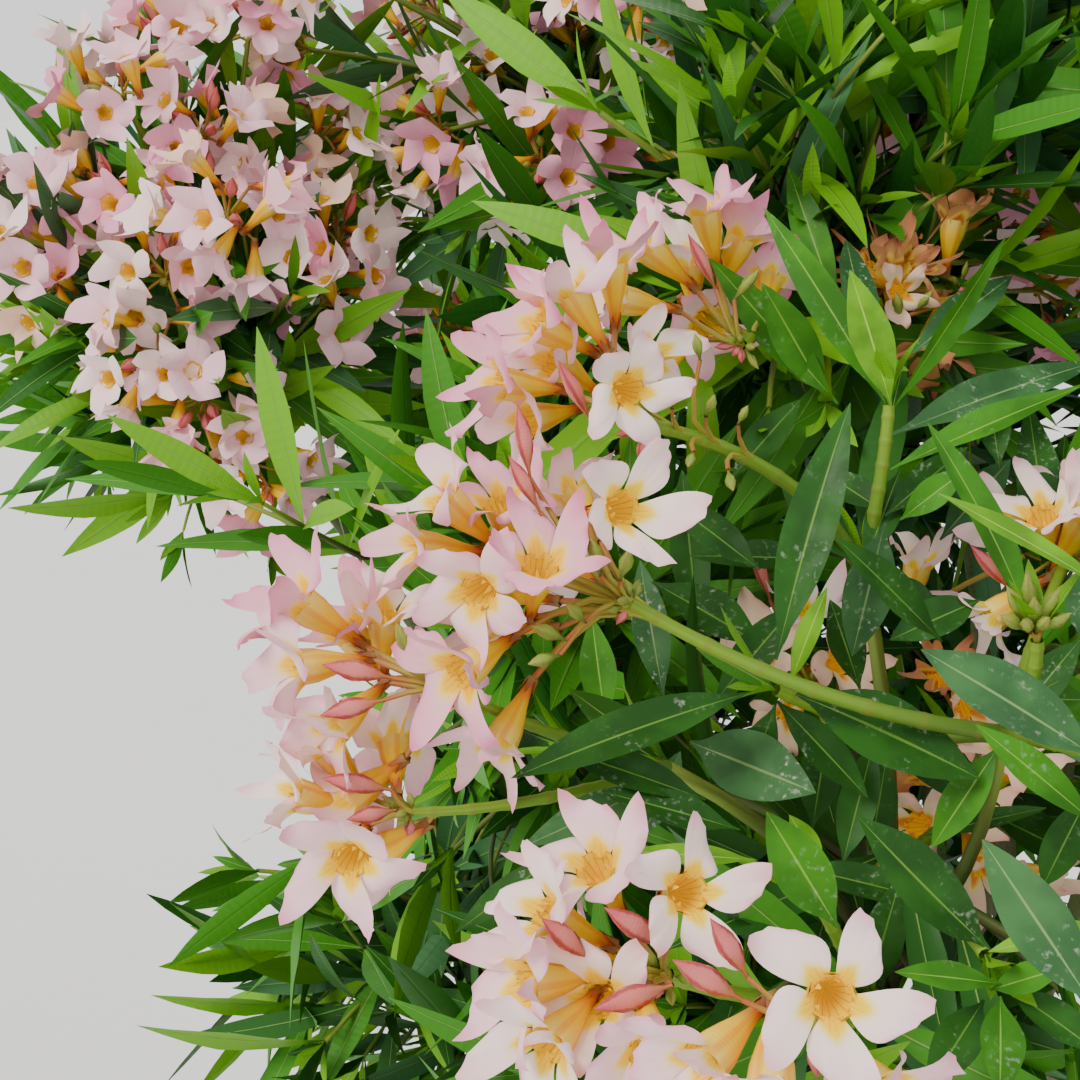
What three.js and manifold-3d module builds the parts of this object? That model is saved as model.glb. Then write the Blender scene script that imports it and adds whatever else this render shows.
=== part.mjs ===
// A potted oleander in millimetres, +Z up, standing on the flat underside of a plain terracotta pot.
// A clump of stems leans out of the soil and forks into boughs. Each bough ends at a mass of leafy
// twigs, which carry heads of pale pink flowers. The same seeded rule sets out the whole crown.

import * as THREE from "three";
import { mergeVertices } from "three/addons/utils/BufferGeometryUtils.js";
import Module from "manifold-3d";

const wasm = await Module();
wasm.setup();

const GAP = 0.3; // the clearance that touching solids keep
const DEGREE = Math.PI / 180;
const GOLDEN_TURN = 137.5 * DEGREE;
const UP = new THREE.Vector3(0, 0, 1);

// The pot is a turned shell, and the soil fills it to a finger's width below the rim.
const POT = {
  height: 330,
  foot: 140,
  shoulder: 183,
  rim: 197,
  bandHeight: 52,
  floor: 14,
  innerFoot: 128,
  innerRim: 180,
  edge: 4,
  sides: 30,
};
const SOIL_TOP = POT.height - 30;

const STEMS = {
  ring: 6,
  footRing: 54,
  tipRing: 118,
  firstAzimuth: 8,
  footRadius: 11.5,
  flare: 1.65,
  flareHeight: 45,
  sunk: 12,
  tipRadius: 7.5,
  tipHeight: 590,
  middleTipHeight: 700,
  sides: 7,
  steps: 6,
};
const BOUGHS = {
  footShare: 0.86,
  tipRadius: 4.2,
  shortOfMass: 70,
  lowestStart: 0.6,
  sides: 5,
  steps: 4,
};

// The crown is four rings of masses. Lobes push it out, draw it in and lift it, so that it is no
// perfect dome: it swells towards the light and is drawn in where the near heads of flowers hang.
const RINGS = [
  { name: "skirt", count: 7, radius: 250, height: 795, first: 232, shoots: 3 },
  { name: "flank", count: 9, radius: 345, height: 985, first: 250, shoots: 5 },
  { name: "shoulder", count: 5, radius: 200, height: 1150, first: 229, shoots: 5 },
  { name: "top", count: 2, radius: 78, height: 1215, first: 200, shoots: 5 },
];
const LOBES = [
  { azimuth: 165, spread: 28, reach: 60, lift: 120 },
  { azimuth: 212, spread: 20, reach: -82, lift: -10 },
  { azimuth: 254, spread: 22, reach: 22, lift: 10 },
];
const GRID = 0.001; // corners of foliage are rounded to this
const SLIVERS = { from: 0.45, to: 0.03, by: -0.015 }; // slivers under this, left where leaves cross, are merged
const SPACE_MARGIN = 0.8; // how far a mass stays from the plane it shares with a neighbour

const TWIG = { stemRadius: 4.2, hubRadius: 3.6, footRadius: 2.4, tipRadius: 1.9, headRadius: 3.1 };
const REACH = 138; // from a mass's heart to the tip of a seeded shoot
// A leaf set out by sighting is near life size. The seeded ones are fewer than life, and larger.
const LEAF = { length: 92, width: 20, thickness: 2.2, neck: 2.6, fold: 2.6, widest: 0.46 };
const LARGER = { length: 1.22, width: 1.45, flower: 1.12 };
const FLOWER = { radius: 24, notch: 14, throat: 9, neck: 4.4, neckDepth: 13, tube: 34, cup: 2 };

// The near side of the crown is set out by sighting, from a point in front of the plant, on a square
// picture of 1080 pixels. A place is a column and a row of that picture and a depth in millimetres.
const SIGHT = {
  eye: new THREE.Vector3(-240, -900, 1240),
  tilt: 14 * DEGREE,
  halfFrame: 540,
  halfWidthPerDepth: 0.3,
};
const NEAR_SHOOTS = [
  { kind: "bloom", column: 742, row: 345, depth: 640 },
  { kind: "bloom", column: 648, row: 425, depth: 572 },
  { kind: "bloom", column: 632, row: 604, depth: 545 },
  { kind: "bloom", column: 452, row: 692, depth: 548 },
  { kind: "bloom", column: 412, row: 812, depth: 545 },
  { kind: "bloom", column: 668, row: 975, depth: 480 },
  { kind: "bloom", column: 812, row: 1030, depth: 425 },
  { kind: "bloom", column: 812, row: 690, depth: 655 },
  { kind: "bloom", column: 985, row: 800, depth: 640 },
  { kind: "bloom", column: 1065, row: 560, depth: 610 },
  { kind: "leafy", column: 889, row: 405, depth: 600 },
  { kind: "leafy", column: 826, row: 402, depth: 655 },
  { kind: "leafy", column: 776, row: 690, depth: 566 },
  { kind: "leafy", column: 1037, row: 640, depth: 520 },
  { kind: "leafy", column: 985, row: 955, depth: 505 },
  { kind: "leafy", column: 820, row: 905, depth: 540 },
  { kind: "leafy", column: 1040, row: 800, depth: 440 },
  { kind: "leafy", column: 960, row: 290, depth: 700 },
];
const NEAR_DEPTH = 720; // seeded shoots stay behind this depth inside the sighted picture
const FAR_HEADS = { column: 640, row: 520 }; // far heads of flowers show only left of and above this
const OPEN_SIDE = { column: 400, top: 560, bottom: 850 }; // no seeded shoot shows in this, on the left
const APART = 62; // seeded shoots keep this far from the tips set out by sighting

const COLOURS = {
  pot: 0xb5694a,
  soil: 0x3b2c22,
  bark: 0x7d7464,
  twig: 0x7e8f45,
  foliage: 0x3c6b2f,
};

// A small seeded generator of numbers from 0 to 1.
function seeded(seed) {
  let state = seed >>> 0;
  return () => {
    state = (state + 0x6d2b79f5) >>> 0;
    let mixed = Math.imul(state ^ (state >>> 15), state | 1);
    mixed ^= mixed + Math.imul(mixed ^ (mixed >>> 7), mixed | 61);
    return ((mixed ^ (mixed >>> 14)) >>> 0) / 4294967296;
  };
}

function polar(radius, azimuth, height) {
  const angle = azimuth * DEGREE;
  return new THREE.Vector3(radius * Math.cos(angle), radius * Math.sin(angle), height);
}

// The point of the plant's frame that shows at a column and row of the picture, at that depth.
function sighted({ column, row, depth }) {
  const across = ((column - SIGHT.halfFrame) / SIGHT.halfFrame) * SIGHT.halfWidthPerDepth * depth;
  const rise = ((SIGHT.halfFrame - row) / SIGHT.halfFrame) * SIGHT.halfWidthPerDepth * depth;
  const cosine = Math.cos(SIGHT.tilt);
  const sine = Math.sin(SIGHT.tilt);
  return new THREE.Vector3(across, depth * cosine + rise * sine, rise * cosine - depth * sine).add(SIGHT.eye);
}

// The reverse: the column, row and depth at which a point shows.
function sighting(point) {
  const from = point.clone().sub(SIGHT.eye);
  const cosine = Math.cos(SIGHT.tilt);
  const sine = Math.sin(SIGHT.tilt);
  const depth = from.y * cosine - from.z * sine;
  const rise = from.y * sine + from.z * cosine;
  const scale = SIGHT.halfFrame / (SIGHT.halfWidthPerDepth * depth);
  return { column: SIGHT.halfFrame + from.x * scale, row: SIGHT.halfFrame - rise * scale, depth };
}

// Any unit vector square to the given one, the same one every time.
function squareTo(axis) {
  const other = Math.abs(axis.z) < 0.9 ? UP : new THREE.Vector3(1, 0, 0);
  return new THREE.Vector3().crossVectors(axis, other).normalize();
}

// The axis tipped away from itself by lean, towards a turn round it.
function leaning(axis, lean, turn) {
  const side = squareTo(axis);
  const other = new THREE.Vector3().crossVectors(axis, side);
  return axis
    .clone()
    .multiplyScalar(Math.cos(lean))
    .addScaledVector(side, Math.sin(lean) * Math.cos(turn))
    .addScaledVector(other, Math.sin(lean) * Math.sin(turn))
    .normalize();
}

function arc(from, bend, to) {
  return new THREE.QuadraticBezierCurve3(from, bend, to);
}

// Geometry and solids

function geometryFrom(points, faces) {
  const geometry = new THREE.BufferGeometry();
  geometry.setAttribute("position", new THREE.Float32BufferAttribute(points.flatMap((p) => p.toArray()), 3));
  geometry.setIndex(faces.flat());
  return geometry;
}

function solidFrom(geometry) {
  const bare = geometry.clone();
  bare.deleteAttribute("normal");
  bare.deleteAttribute("uv");
  const merged = mergeVertices(bare, 1e-4);
  return new wasm.Manifold(
    new wasm.Mesh({
      numProp: 3,
      vertProperties: new Float32Array(merged.attributes.position.array),
      triVerts: new Uint32Array(merged.index.array),
    }),
  );
}

function geometryOf(solid) {
  const mesh = solid.getMesh();
  const geometry = new THREE.BufferGeometry();
  geometry.setAttribute("position", new THREE.BufferAttribute(mesh.vertProperties, 3));
  geometry.setIndex(new THREE.BufferAttribute(mesh.triVerts, 1));
  return geometry;
}

// The largest body of a solid, so that a scrap cut loose by a neighbour is dropped.
function largestBody(solid) {
  return solid.decompose().reduce((best, body) => (body.volume() > best.volume() ? body : best));
}

// The triangles of a solid with their corners on a fine grid, and those that collapsed left out.
function snapped(solid) {
  const { vertProperties, triVerts } = solid.getMesh();
  const order = new Map();
  const points = [];
  const numbers = Array.from(triVerts, (index) => {
    const corner = new THREE.Vector3().fromArray(vertProperties, 3 * index);
    corner.divideScalar(GRID).round().multiplyScalar(GRID);
    const key = corner.toArray().join();
    if (!order.has(key)) {
      order.set(key, points.length);
      points.push(corner);
    }
    return order.get(key);
  });
  const faces = [];
  for (let first = 0; first < numbers.length; first += 3) {
    const face = numbers.slice(first, first + 3);
    if (new Set(face).size === 3) {
      faces.push(face);
    }
  }
  return { points, faces };
}

// True if every edge joins two faces.
function closes(faces) {
  const joined = new Map();
  for (const face of faces) {
    for (const side of [0, 1, 2]) {
      const edge = [face[side], face[(side + 1) % 3]].sort((a, b) => a - b).join();
      joined.set(edge, (joined.get(edge) ?? 0) + 1);
    }
  }
  return [...joined.values()].every((count) => count === 2);
}

// A solid with its slivers merged away, by the first limit that leaves it one closed body.
function withoutSlivers(solid) {
  const joined = solidFrom(geometryOf(solid));
  for (let sliver = SLIVERS.from; sliver > SLIVERS.to; sliver += SLIVERS.by) {
    const { points, faces } = snapped(largestBody(joined.simplify(sliver)));
    if (closes(faces)) {
      return geometryFrom(points, faces);
    }
  }
  throw new Error("a mass of foliage does not close");
}

// A closed limb along a curve: a ring of points at each step, and a flat cut at both ends.
function limbGeometry(curve, radiusAt, steps, sides) {
  const frames = curve.computeFrenetFrames(steps, false);
  const points = [];
  const faces = [];
  for (let step = 0; step <= steps; step++) {
    const share = step / steps;
    const centre = curve.getPointAt(share);
    for (let side = 0; side < sides; side++) {
      const angle = (2 * Math.PI * side) / sides;
      points.push(
        centre
          .clone()
          .addScaledVector(frames.normals[step], Math.cos(angle) * radiusAt(share))
          .addScaledVector(frames.binormals[step], Math.sin(angle) * radiusAt(share)),
      );
    }
  }
  for (let step = 0; step < steps; step++) {
    for (let side = 0; side < sides; side++) {
      const next = (side + 1) % sides;
      const [a, b] = [step * sides + side, step * sides + next];
      faces.push([a, b, a + sides], [b, b + sides, a + sides]);
    }
  }
  const last = steps * sides;
  for (let side = 1; side < sides - 1; side++) {
    faces.push([0, side + 1, side], [last, last + side, last + side + 1]);
  }
  return geometryFrom(points, faces);
}

// Where the limbs go

function lobeAt(azimuth, key) {
  return LOBES.reduce((sum, lobe) => {
    const away = ((azimuth - lobe.azimuth + 540) % 360) - 180;
    return sum + lobe[key] * Math.exp(-((away / lobe.spread) ** 2));
  }, 0);
}

function planMasses() {
  return RINGS.flatMap((ring, level) =>
    Array.from({ length: ring.count }, (_, index) => {
      const azimuth = (ring.first + (360 * index) / ring.count) % 360;
      const swell = ring.radius / RINGS[1].radius;
      const radius = ring.radius + swell * lobeAt(azimuth, "reach");
      const height = ring.height + (level > 0 ? lobeAt(azimuth, "lift") * swell : 0);
      return {
        name: `${ring.name}_mass_${index + 1}`,
        boughName: `${ring.name}_bough_${index + 1}`,
        ring: ring.name,
        shootCount: ring.shoots,
        azimuth,
        heart: polar(radius, azimuth, height),
      };
    }),
  );
}

function planStems() {
  const random = seeded(11);
  const stems = Array.from({ length: STEMS.ring }, (_, index) => {
    const azimuth = STEMS.firstAzimuth + (360 * index) / STEMS.ring + (random() - 0.5) * 14;
    const height = STEMS.tipHeight + (random() - 0.5) * 70;
    const foot = polar(STEMS.footRing, azimuth, SOIL_TOP - STEMS.sunk);
    const tip = polar(STEMS.tipRing + (random() - 0.5) * 24, azimuth + (random() - 0.5) * 16, height);
    return { name: `stem_${index + 1}`, azimuth, foot, tip };
  });
  stems.push({
    name: `stem_${STEMS.ring + 1}`,
    azimuth: null,
    foot: new THREE.Vector3(3, -2, SOIL_TOP - STEMS.sunk),
    tip: new THREE.Vector3(10, -14, STEMS.middleTipHeight),
  });
  for (const stem of stems) {
    const bend = stem.foot.clone().lerp(stem.tip, 0.45);
    bend.x += (stem.foot.x - bend.x) * 0.55;
    bend.y += (stem.foot.y - bend.y) * 0.55;
    stem.curve = arc(stem.foot, bend, stem.tip);
    stem.length = stem.curve.getLength();
    stem.radiusAt = (share) => {
      const height = Math.max(0, share * stem.length - STEMS.sunk);
      const flare = (STEMS.flare - 1) * Math.exp((-2 * height) / STEMS.flareHeight);
      return THREE.MathUtils.lerp(STEMS.footRadius, STEMS.tipRadius, share) * (1 + flare);
    };
  }
  return stems;
}

function angleBetween(a, b) {
  return Math.abs(((a - b + 540) % 360) - 180);
}

// Each mass hangs on the outer stem nearest to its own side, and the top masses on the middle stem.
function stemFor(mass, stems) {
  if (mass.ring === "top") {
    return stems[stems.length - 1];
  }
  return stems
    .slice(0, -1)
    .reduce((best, stem) =>
      angleBetween(stem.azimuth, mass.azimuth) < angleBetween(best.azimuth, mass.azimuth) ? stem : best,
    );
}

// The highest bough carries a stem on from its tip, and the others leave its side below that.
function planBoughs(masses, stems) {
  for (const stem of stems) {
    const own = masses.filter((mass) => stemFor(mass, stems) === stem);
    own.sort((a, b) => a.heart.z - b.heart.z);
    own.forEach((mass, index) => {
      const last = index === own.length - 1;
      const share = last ? 1 : BOUGHS.lowestStart + (0.33 * index) / Math.max(1, own.length - 2);
      const along = stem.curve.getTangentAt(share);
      const foot = stem.curve.getPointAt(share).addScaledVector(along, last ? GAP : 0);
      const reach = mass.heart.clone().sub(foot);
      const tip = mass.heart.clone().addScaledVector(reach.clone().normalize(), -BOUGHS.shortOfMass);
      const bend = foot.clone().addScaledVector(along, reach.length() * (last ? 0.4 : 0.3));
      if (!last) {
        bend.addScaledVector(new THREE.Vector3(reach.x, reach.y, 0), 0.2);
      }
      tip.z -= 12;
      const footRadius = stem.radiusAt(share) * (last ? 0.98 : BOUGHS.footShare);
      mass.bough = {
        name: mass.boughName,
        stem,
        curve: arc(foot, bend, tip),
        radiusAt: (at) => THREE.MathUtils.lerp(footRadius, BOUGHS.tipRadius, at),
      };
    });
  }
}

// Where the shoots of a mass go

function nearestMass(point, masses) {
  return masses.reduce((best, mass) =>
    mass.heart.distanceToSquared(point) < best.heart.distanceToSquared(point) ? mass : best,
  );
}

// True if a point is on the mass's side of every plane halfway to another mass.
function inSpace(point, mass, masses) {
  return masses.every((other) => {
    if (other === mass) {
      return true;
    }
    const across = other.heart.clone().sub(mass.heart);
    const halfway = across.length() / 2;
    return point.clone().sub(mass.heart).dot(across.normalize()) < halfway - SPACE_MARGIN;
  });
}

// What the picture allows at a point: no seeded shoot, a leafy one only, or either kind.
function allowedAt(point) {
  const { column, row, depth } = sighting(point);
  const side = 2 * SIGHT.halfFrame;
  const edge = 70;
  if (column < -edge || column > side + edge || row < -edge || row > side + edge) {
    return "either";
  }
  const open = column < OPEN_SIDE.column && row > OPEN_SIDE.top && row < OPEN_SIDE.bottom;
  if (depth < NEAR_DEPTH || open) {
    return "none";
  }
  return column < FAR_HEADS.column && row < FAR_HEADS.row ? "either" : "leafy";
}

// The tips of a mass's shoots: those set out by sighting, then seeded ones fanned round its heart.
function planShoots(mass, masses, seed) {
  const random = seeded(seed);
  const near = NEAR_SHOOTS.map((shoot) => ({ kind: shoot.kind, near: true, tip: sighted(shoot) }));
  const shoots = near.filter((shoot) => nearestMass(shoot.tip, masses) === mass);
  const outward = mass.heart.clone().sub(new THREE.Vector3(0, 0, 900)).normalize();
  outward.addScaledVector(UP, 0.35).normalize();
  for (let index = 0; index < mass.shootCount; index++) {
    const lean = Math.acos(1 - ((index + 0.4) / mass.shootCount) * (1 - Math.cos(88 * DEGREE)));
    const turn = index * GOLDEN_TURN + random() * 0.7;
    const length = REACH * (0.84 + 0.3 * random());
    const blooms = random() < 0.56;
    const direction = leaning(outward, lean, turn);
    let tip = null;
    for (let share = 1; share > 0.5 && !tip; share -= 0.12) {
      const place = mass.heart.clone().addScaledVector(direction, length * share);
      place.z += 14;
      tip = inSpace(place, mass, masses) ? place : null;
    }
    const allowed = tip ? allowedAt(tip) : "none";
    if (allowed !== "none" && near.every((shoot) => shoot.tip.distanceTo(tip) > APART)) {
      shoots.push({ kind: blooms && allowed === "either" ? "bloom" : "leafy", near: false, tip });
    }
  }
  return shoots;
}

// Each mass has one stem, from its bough's tip to its heart, and its shoots leave that stem.
function planTwigs(mass) {
  const from = mass.bough.curve.getPointAt(1);
  const along = mass.bough.curve.getTangentAt(1);
  const foot = from.clone().addScaledVector(along, GAP);
  const bend = foot.clone().addScaledVector(along, foot.distanceTo(mass.heart) * 0.5);
  mass.stem = arc(foot, bend, mass.heart.clone());
  mass.shoots.forEach((shoot, index) => {
    const share = 0.48 + (0.46 * (index + 1)) / mass.shoots.length;
    const start = mass.stem.getPointAt(share);
    const growth = mass.stem.getTangentAt(share);
    const reach = start.distanceTo(shoot.tip);
    shoot.curve = arc(start, start.clone().addScaledVector(growth, reach * 0.34), shoot.tip);
  });
}

// Pieces of a mass

// A folded blade of eight faces. Its root end stands on edge, so that it sinks well into a twig.
function leafPoints(root, along, face, length, width) {
  const side = new THREE.Vector3().crossVectors(along, face).normalize();
  const normal = new THREE.Vector3().crossVectors(side, along).normalize();
  const start = root.clone().addScaledVector(along, -0.6);
  const middle = start.clone().addScaledVector(along, length * LEAF.widest);
  const at = (point, across, above) => point.clone().addScaledVector(side, across).addScaledVector(normal, above);
  return [
    at(start, 0, LEAF.neck / 2),
    at(start, 0, -LEAF.neck / 2),
    at(middle, width / 2, LEAF.fold),
    at(middle, -width / 2, LEAF.fold),
    at(start.clone().addScaledVector(along, length), 0, -length * 0.04),
    at(middle, 0, -LEAF.thickness),
  ];
}

const LEAF_FACES = [
  [0, 2, 4],
  [0, 4, 3],
  [1, 5, 2],
  [5, 4, 2],
  [1, 3, 5],
  [5, 3, 4],
  [0, 1, 2],
  [0, 3, 1],
];

// Five petals round a sunk throat. A necked flower has a ring of corners close behind them.
function flowerPoints(seat, along, turn, size, necked) {
  const side = squareTo(along);
  const other = new THREE.Vector3().crossVectors(along, side);
  const at = (radius, angle, above) =>
    seat
      .clone()
      .addScaledVector(along, FLOWER.tube + above)
      .addScaledVector(side, Math.cos(angle) * radius * size)
      .addScaledVector(other, Math.sin(angle) * radius * size);
  const points = [at(0, 0, -FLOWER.throat), at(0, 0, -FLOWER.tube)];
  for (let petal = 0; petal < 5; petal++) {
    const angle = turn + (2 * Math.PI * petal) / 5;
    points.push(at(FLOWER.radius, angle, FLOWER.cup), at(FLOWER.notch, angle + Math.PI / 5, -FLOWER.cup));
  }
  for (let petal = 0; necked && petal < 5; petal++) {
    points.push(at(FLOWER.neck, turn + (2 * Math.PI * petal) / 5, -FLOWER.neckDepth));
  }
  return points;
}

function flowerFaces(necked) {
  const faces = [];
  for (let petal = 0; petal < 5; petal++) {
    const [tip, notch, neck] = [2 + 2 * petal, 3 + 2 * petal, 12 + petal];
    const nextTip = 2 + 2 * ((petal + 1) % 5);
    const nextNeck = 12 + ((petal + 1) % 5);
    faces.push([0, tip, notch], [0, notch, nextTip]);
    if (necked) {
      faces.push([tip, neck, notch], [notch, neck, nextNeck], [notch, nextNeck, nextTip], [neck, 1, nextNeck]);
    } else {
      faces.push([tip, 1, notch], [notch, 1, nextTip]);
    }
  }
  return faces;
}

// True if a piece keeps to its mass's space and clear of every limb that passes.
function clear(points, spine, halfWidth, mass, masses, limbs) {
  if (!points.every((point) => inSpace(point, mass, masses))) {
    return false;
  }
  const room = new THREE.Sphere().setFromPoints(spine);
  return limbs.every((limb) => {
    if (limb.room.center.distanceTo(room.center) > limb.room.radius + room.radius + 30) {
      return true;
    }
    return limb.stations.every(({ point, radius }) =>
      spine.every((place) => place.distanceTo(point) > radius + halfWidth + GAP),
    );
  });
}

// Points every few millimetres from one place to another.
function spineOf(from, to, spacing) {
  const count = Math.max(2, Math.ceil(from.distanceTo(to) / spacing));
  return Array.from({ length: count + 1 }, (_, index) => from.clone().lerp(to, index / count));
}

// The whorls of a shoot: how far along it, how many leaves, how wide they spread, and their size.
const WHORLS = {
  leafy: [
    { share: 0.62, count: 2, spread: 58, size: 0.95 },
    { share: 0.97, count: 3, spread: 30, size: 0.9 },
  ],
  bloom: [{ share: 0.66, count: 3, spread: 52, size: 1 }],
};
const HEAD = { flowers: 2, spread: 42 };
const RETRY = { turn: 0.7, shrink: 0.82 }; // a leaf or flower that does not fit is turned, and a leaf is shrunk

function dressMass(mass, masses, limbs, seed) {
  const random = seeded(seed);
  const stemRadius = (at) => THREE.MathUtils.lerp(TWIG.stemRadius, TWIG.hubRadius, at);
  const pieces = [solidFrom(limbGeometry(mass.stem, stemRadius, 2, 5))];
  const fits = ({ points, spine, halfWidth }) => clear(points, spine, halfWidth, mass, masses, limbs);
  const addFirstThatFits = (faces, makeTry) => {
    const found = [0, 1, 2].map(makeTry).find(fits);
    if (found) {
      pieces.push(solidFrom(geometryFrom(found.points, faces)));
    }
  };
  for (const { kind, near, curve } of mass.shoots) {
    const end = kind === "bloom" ? TWIG.headRadius : TWIG.tipRadius;
    const places = curve.getPoints(12);
    if (!fits({ points: places, spine: places.slice(1), halfWidth: TWIG.footRadius })) {
      continue;
    }
    pieces.push(solidFrom(limbGeometry(curve, (at) => THREE.MathUtils.lerp(TWIG.footRadius, end, at), 3, 3)));
    let turn = random() * 2 * Math.PI;
    for (const whorl of WHORLS[kind]) {
      turn += 1;
      const root = curve.getPointAt(whorl.share);
      const axis = curve.getTangentAt(whorl.share);
      for (let leaf = 0; leaf < whorl.count; leaf++) {
        const spread = (whorl.spread + (random() - 0.5) * 24) * DEGREE;
        const aim = turn + (2 * Math.PI * leaf) / whorl.count;
        const size = whorl.size * (0.88 + 0.24 * random());
        addFirstThatFits(LEAF_FACES, (attempt) => {
          const along = leaning(axis, spread, aim + RETRY.turn * attempt);
          const fitted = size * RETRY.shrink ** attempt;
          const length = LEAF.length * fitted * (near ? 1 : LARGER.length);
          const width = LEAF.width * fitted * (near ? 1 : LARGER.width);
          const points = leafPoints(root, along, axis, length, width);
          return { points, spine: spineOf(points[0], points[4], 6), halfWidth: width / 3 };
        });
      }
    }
    if (kind === "bloom") {
      const seat = curve.getPointAt(1).addScaledVector(curve.getTangentAt(1), -2);
      for (let flower = 0; flower < HEAD.flowers; flower++) {
        const aim = turn + (2 * Math.PI * flower) / HEAD.flowers;
        const spread = (HEAD.spread + 10 * random()) * DEGREE;
        const twist = 2 * random();
        addFirstThatFits(flowerFaces(near), (attempt) => {
          const along = leaning(curve.getTangentAt(1), spread, aim + RETRY.turn * attempt);
          const points = flowerPoints(seat, along, twist, LARGER.flower, near);
          return { points, spine: [points[0]], halfWidth: FLOWER.radius };
        });
      }
    }
  }
  return withoutSlivers(wasm.Manifold.union(pieces));
}

// The parts

function potGeometry() {
  const bandFoot = POT.height - POT.bandHeight;
  const profile = [
    [0, 0],
    [POT.foot - POT.edge, 0],
    [POT.foot, POT.edge],
    [POT.shoulder, bandFoot],
    [POT.rim - POT.edge - 2, bandFoot],
    [POT.rim - 2, bandFoot + POT.edge],
    [POT.rim, POT.height - POT.edge],
    [POT.rim - POT.edge, POT.height],
    [POT.innerRim + POT.edge, POT.height],
    [POT.innerRim, POT.height - POT.edge],
    [POT.innerFoot, POT.floor],
    [0, POT.floor],
  ];
  const points = profile.map(([radius, height]) => new THREE.Vector2(radius, height));
  return new THREE.LatheGeometry(points, POT.sides).rotateX(Math.PI / 2);
}

function soilGeometry() {
  const slope = (POT.innerRim - POT.innerFoot) / (POT.height - POT.edge - POT.floor);
  const wallAt = (height) => POT.innerFoot + slope * (height - POT.floor) - 2 * GAP;
  const profile = [
    [0, POT.floor + GAP],
    [wallAt(POT.floor + GAP), POT.floor + GAP],
    [wallAt(SOIL_TOP), SOIL_TOP],
    [0, SOIL_TOP],
  ];
  const points = profile.map(([radius, height]) => new THREE.Vector2(radius, height));
  return new THREE.LatheGeometry(points, POT.sides).rotateX(Math.PI / 2);
}

// A limb's solid, cut clear of the limbs that it leaves or passes.
function limbSolid(limb, steps, sides, others) {
  let solid = solidFrom(limbGeometry(limb.curve, limb.radiusAt, steps, sides));
  for (const other of others) {
    solid = solid.subtract(other.swollen);
  }
  return largestBody(solid);
}

// The same limb a little fatter and longer, which cuts its clearance out of a neighbour.
function swollen(limb, steps, sides) {
  const { v0, v1, v2 } = limb.curve;
  const before = v0.clone().addScaledVector(limb.curve.getTangentAt(0), -2 * GAP);
  const after = v2.clone().addScaledVector(limb.curve.getTangentAt(1), 2 * GAP);
  return solidFrom(limbGeometry(arc(before, v1, after), (at) => limb.radiusAt(at) + 2 * GAP, steps, sides));
}

// Stations along a limb that leaves and twigs keep clear of.
function withStations(limb) {
  const count = Math.ceil(limb.curve.getLength() / 5);
  limb.stations = Array.from({ length: count + 1 }, (_, index) => ({
    point: limb.curve.getPointAt(index / count),
    radius: limb.radiusAt(index / count),
  }));
  limb.room = new THREE.Sphere().setFromPoints(limb.stations.map((station) => station.point));
  return limb;
}

function part(name, geometry, colour, roughness) {
  const material = new THREE.MeshStandardMaterial({ color: colour, roughness, metalness: 0 });
  const mesh = new THREE.Mesh(geometry, material);
  mesh.name = name;
  return mesh;
}

function buildOleander() {
  const plant = new THREE.Group();
  plant.add(part("pot", potGeometry(), COLOURS.pot, 0.9));
  plant.add(part("soil", soilGeometry(), COLOURS.soil, 1));

  const masses = planMasses();
  const stems = planStems();
  planBoughs(masses, stems);
  for (const stem of stems) {
    stem.swollen = swollen(stem, STEMS.steps, STEMS.sides);
    const whole = limbSolid(stem, STEMS.steps, STEMS.sides, []);
    const cut = whole.trimByPlane([0, 0, 1], SOIL_TOP + GAP);
    plant.add(part(stem.name, geometryOf(cut), COLOURS.bark, 0.85));
    const own = masses.filter((mass) => mass.bough.stem === stem).map((mass) => mass.bough);
    own.reverse().forEach((bough, index) => {
      bough.swollen = swollen(bough, BOUGHS.steps, BOUGHS.sides);
      const others = index === 0 ? own.slice(0, 0) : own.slice(0, index);
      const cutters = bough.curve.v0.distanceTo(stem.tip) < 2 * GAP ? others : [stem, ...others];
      const solid = limbSolid(bough, BOUGHS.steps, BOUGHS.sides, cutters);
      plant.add(part(bough.name, geometryOf(solid), COLOURS.bark, 0.8));
    });
  }

  const limbs = [...stems, ...masses.map((mass) => mass.bough)].map(withStations);
  masses.forEach((mass, index) => {
    mass.shoots = planShoots(mass, masses, 100 + index);
    planTwigs(mass);
  });
  masses.forEach((mass, index) => {
    plant.add(part(mass.name, dressMass(mass, masses, limbs, 500 + index), COLOURS.foliage, 0.55));
  });
  return plant;
}

export default buildOleander();
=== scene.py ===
"""Dresses the potted oleander: its pot, compost, bark, twigs, leaves and heads of blossom."""

import logging
import math
from collections.abc import Callable, Iterable
from dataclasses import dataclass, field
from enum import Enum

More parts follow.
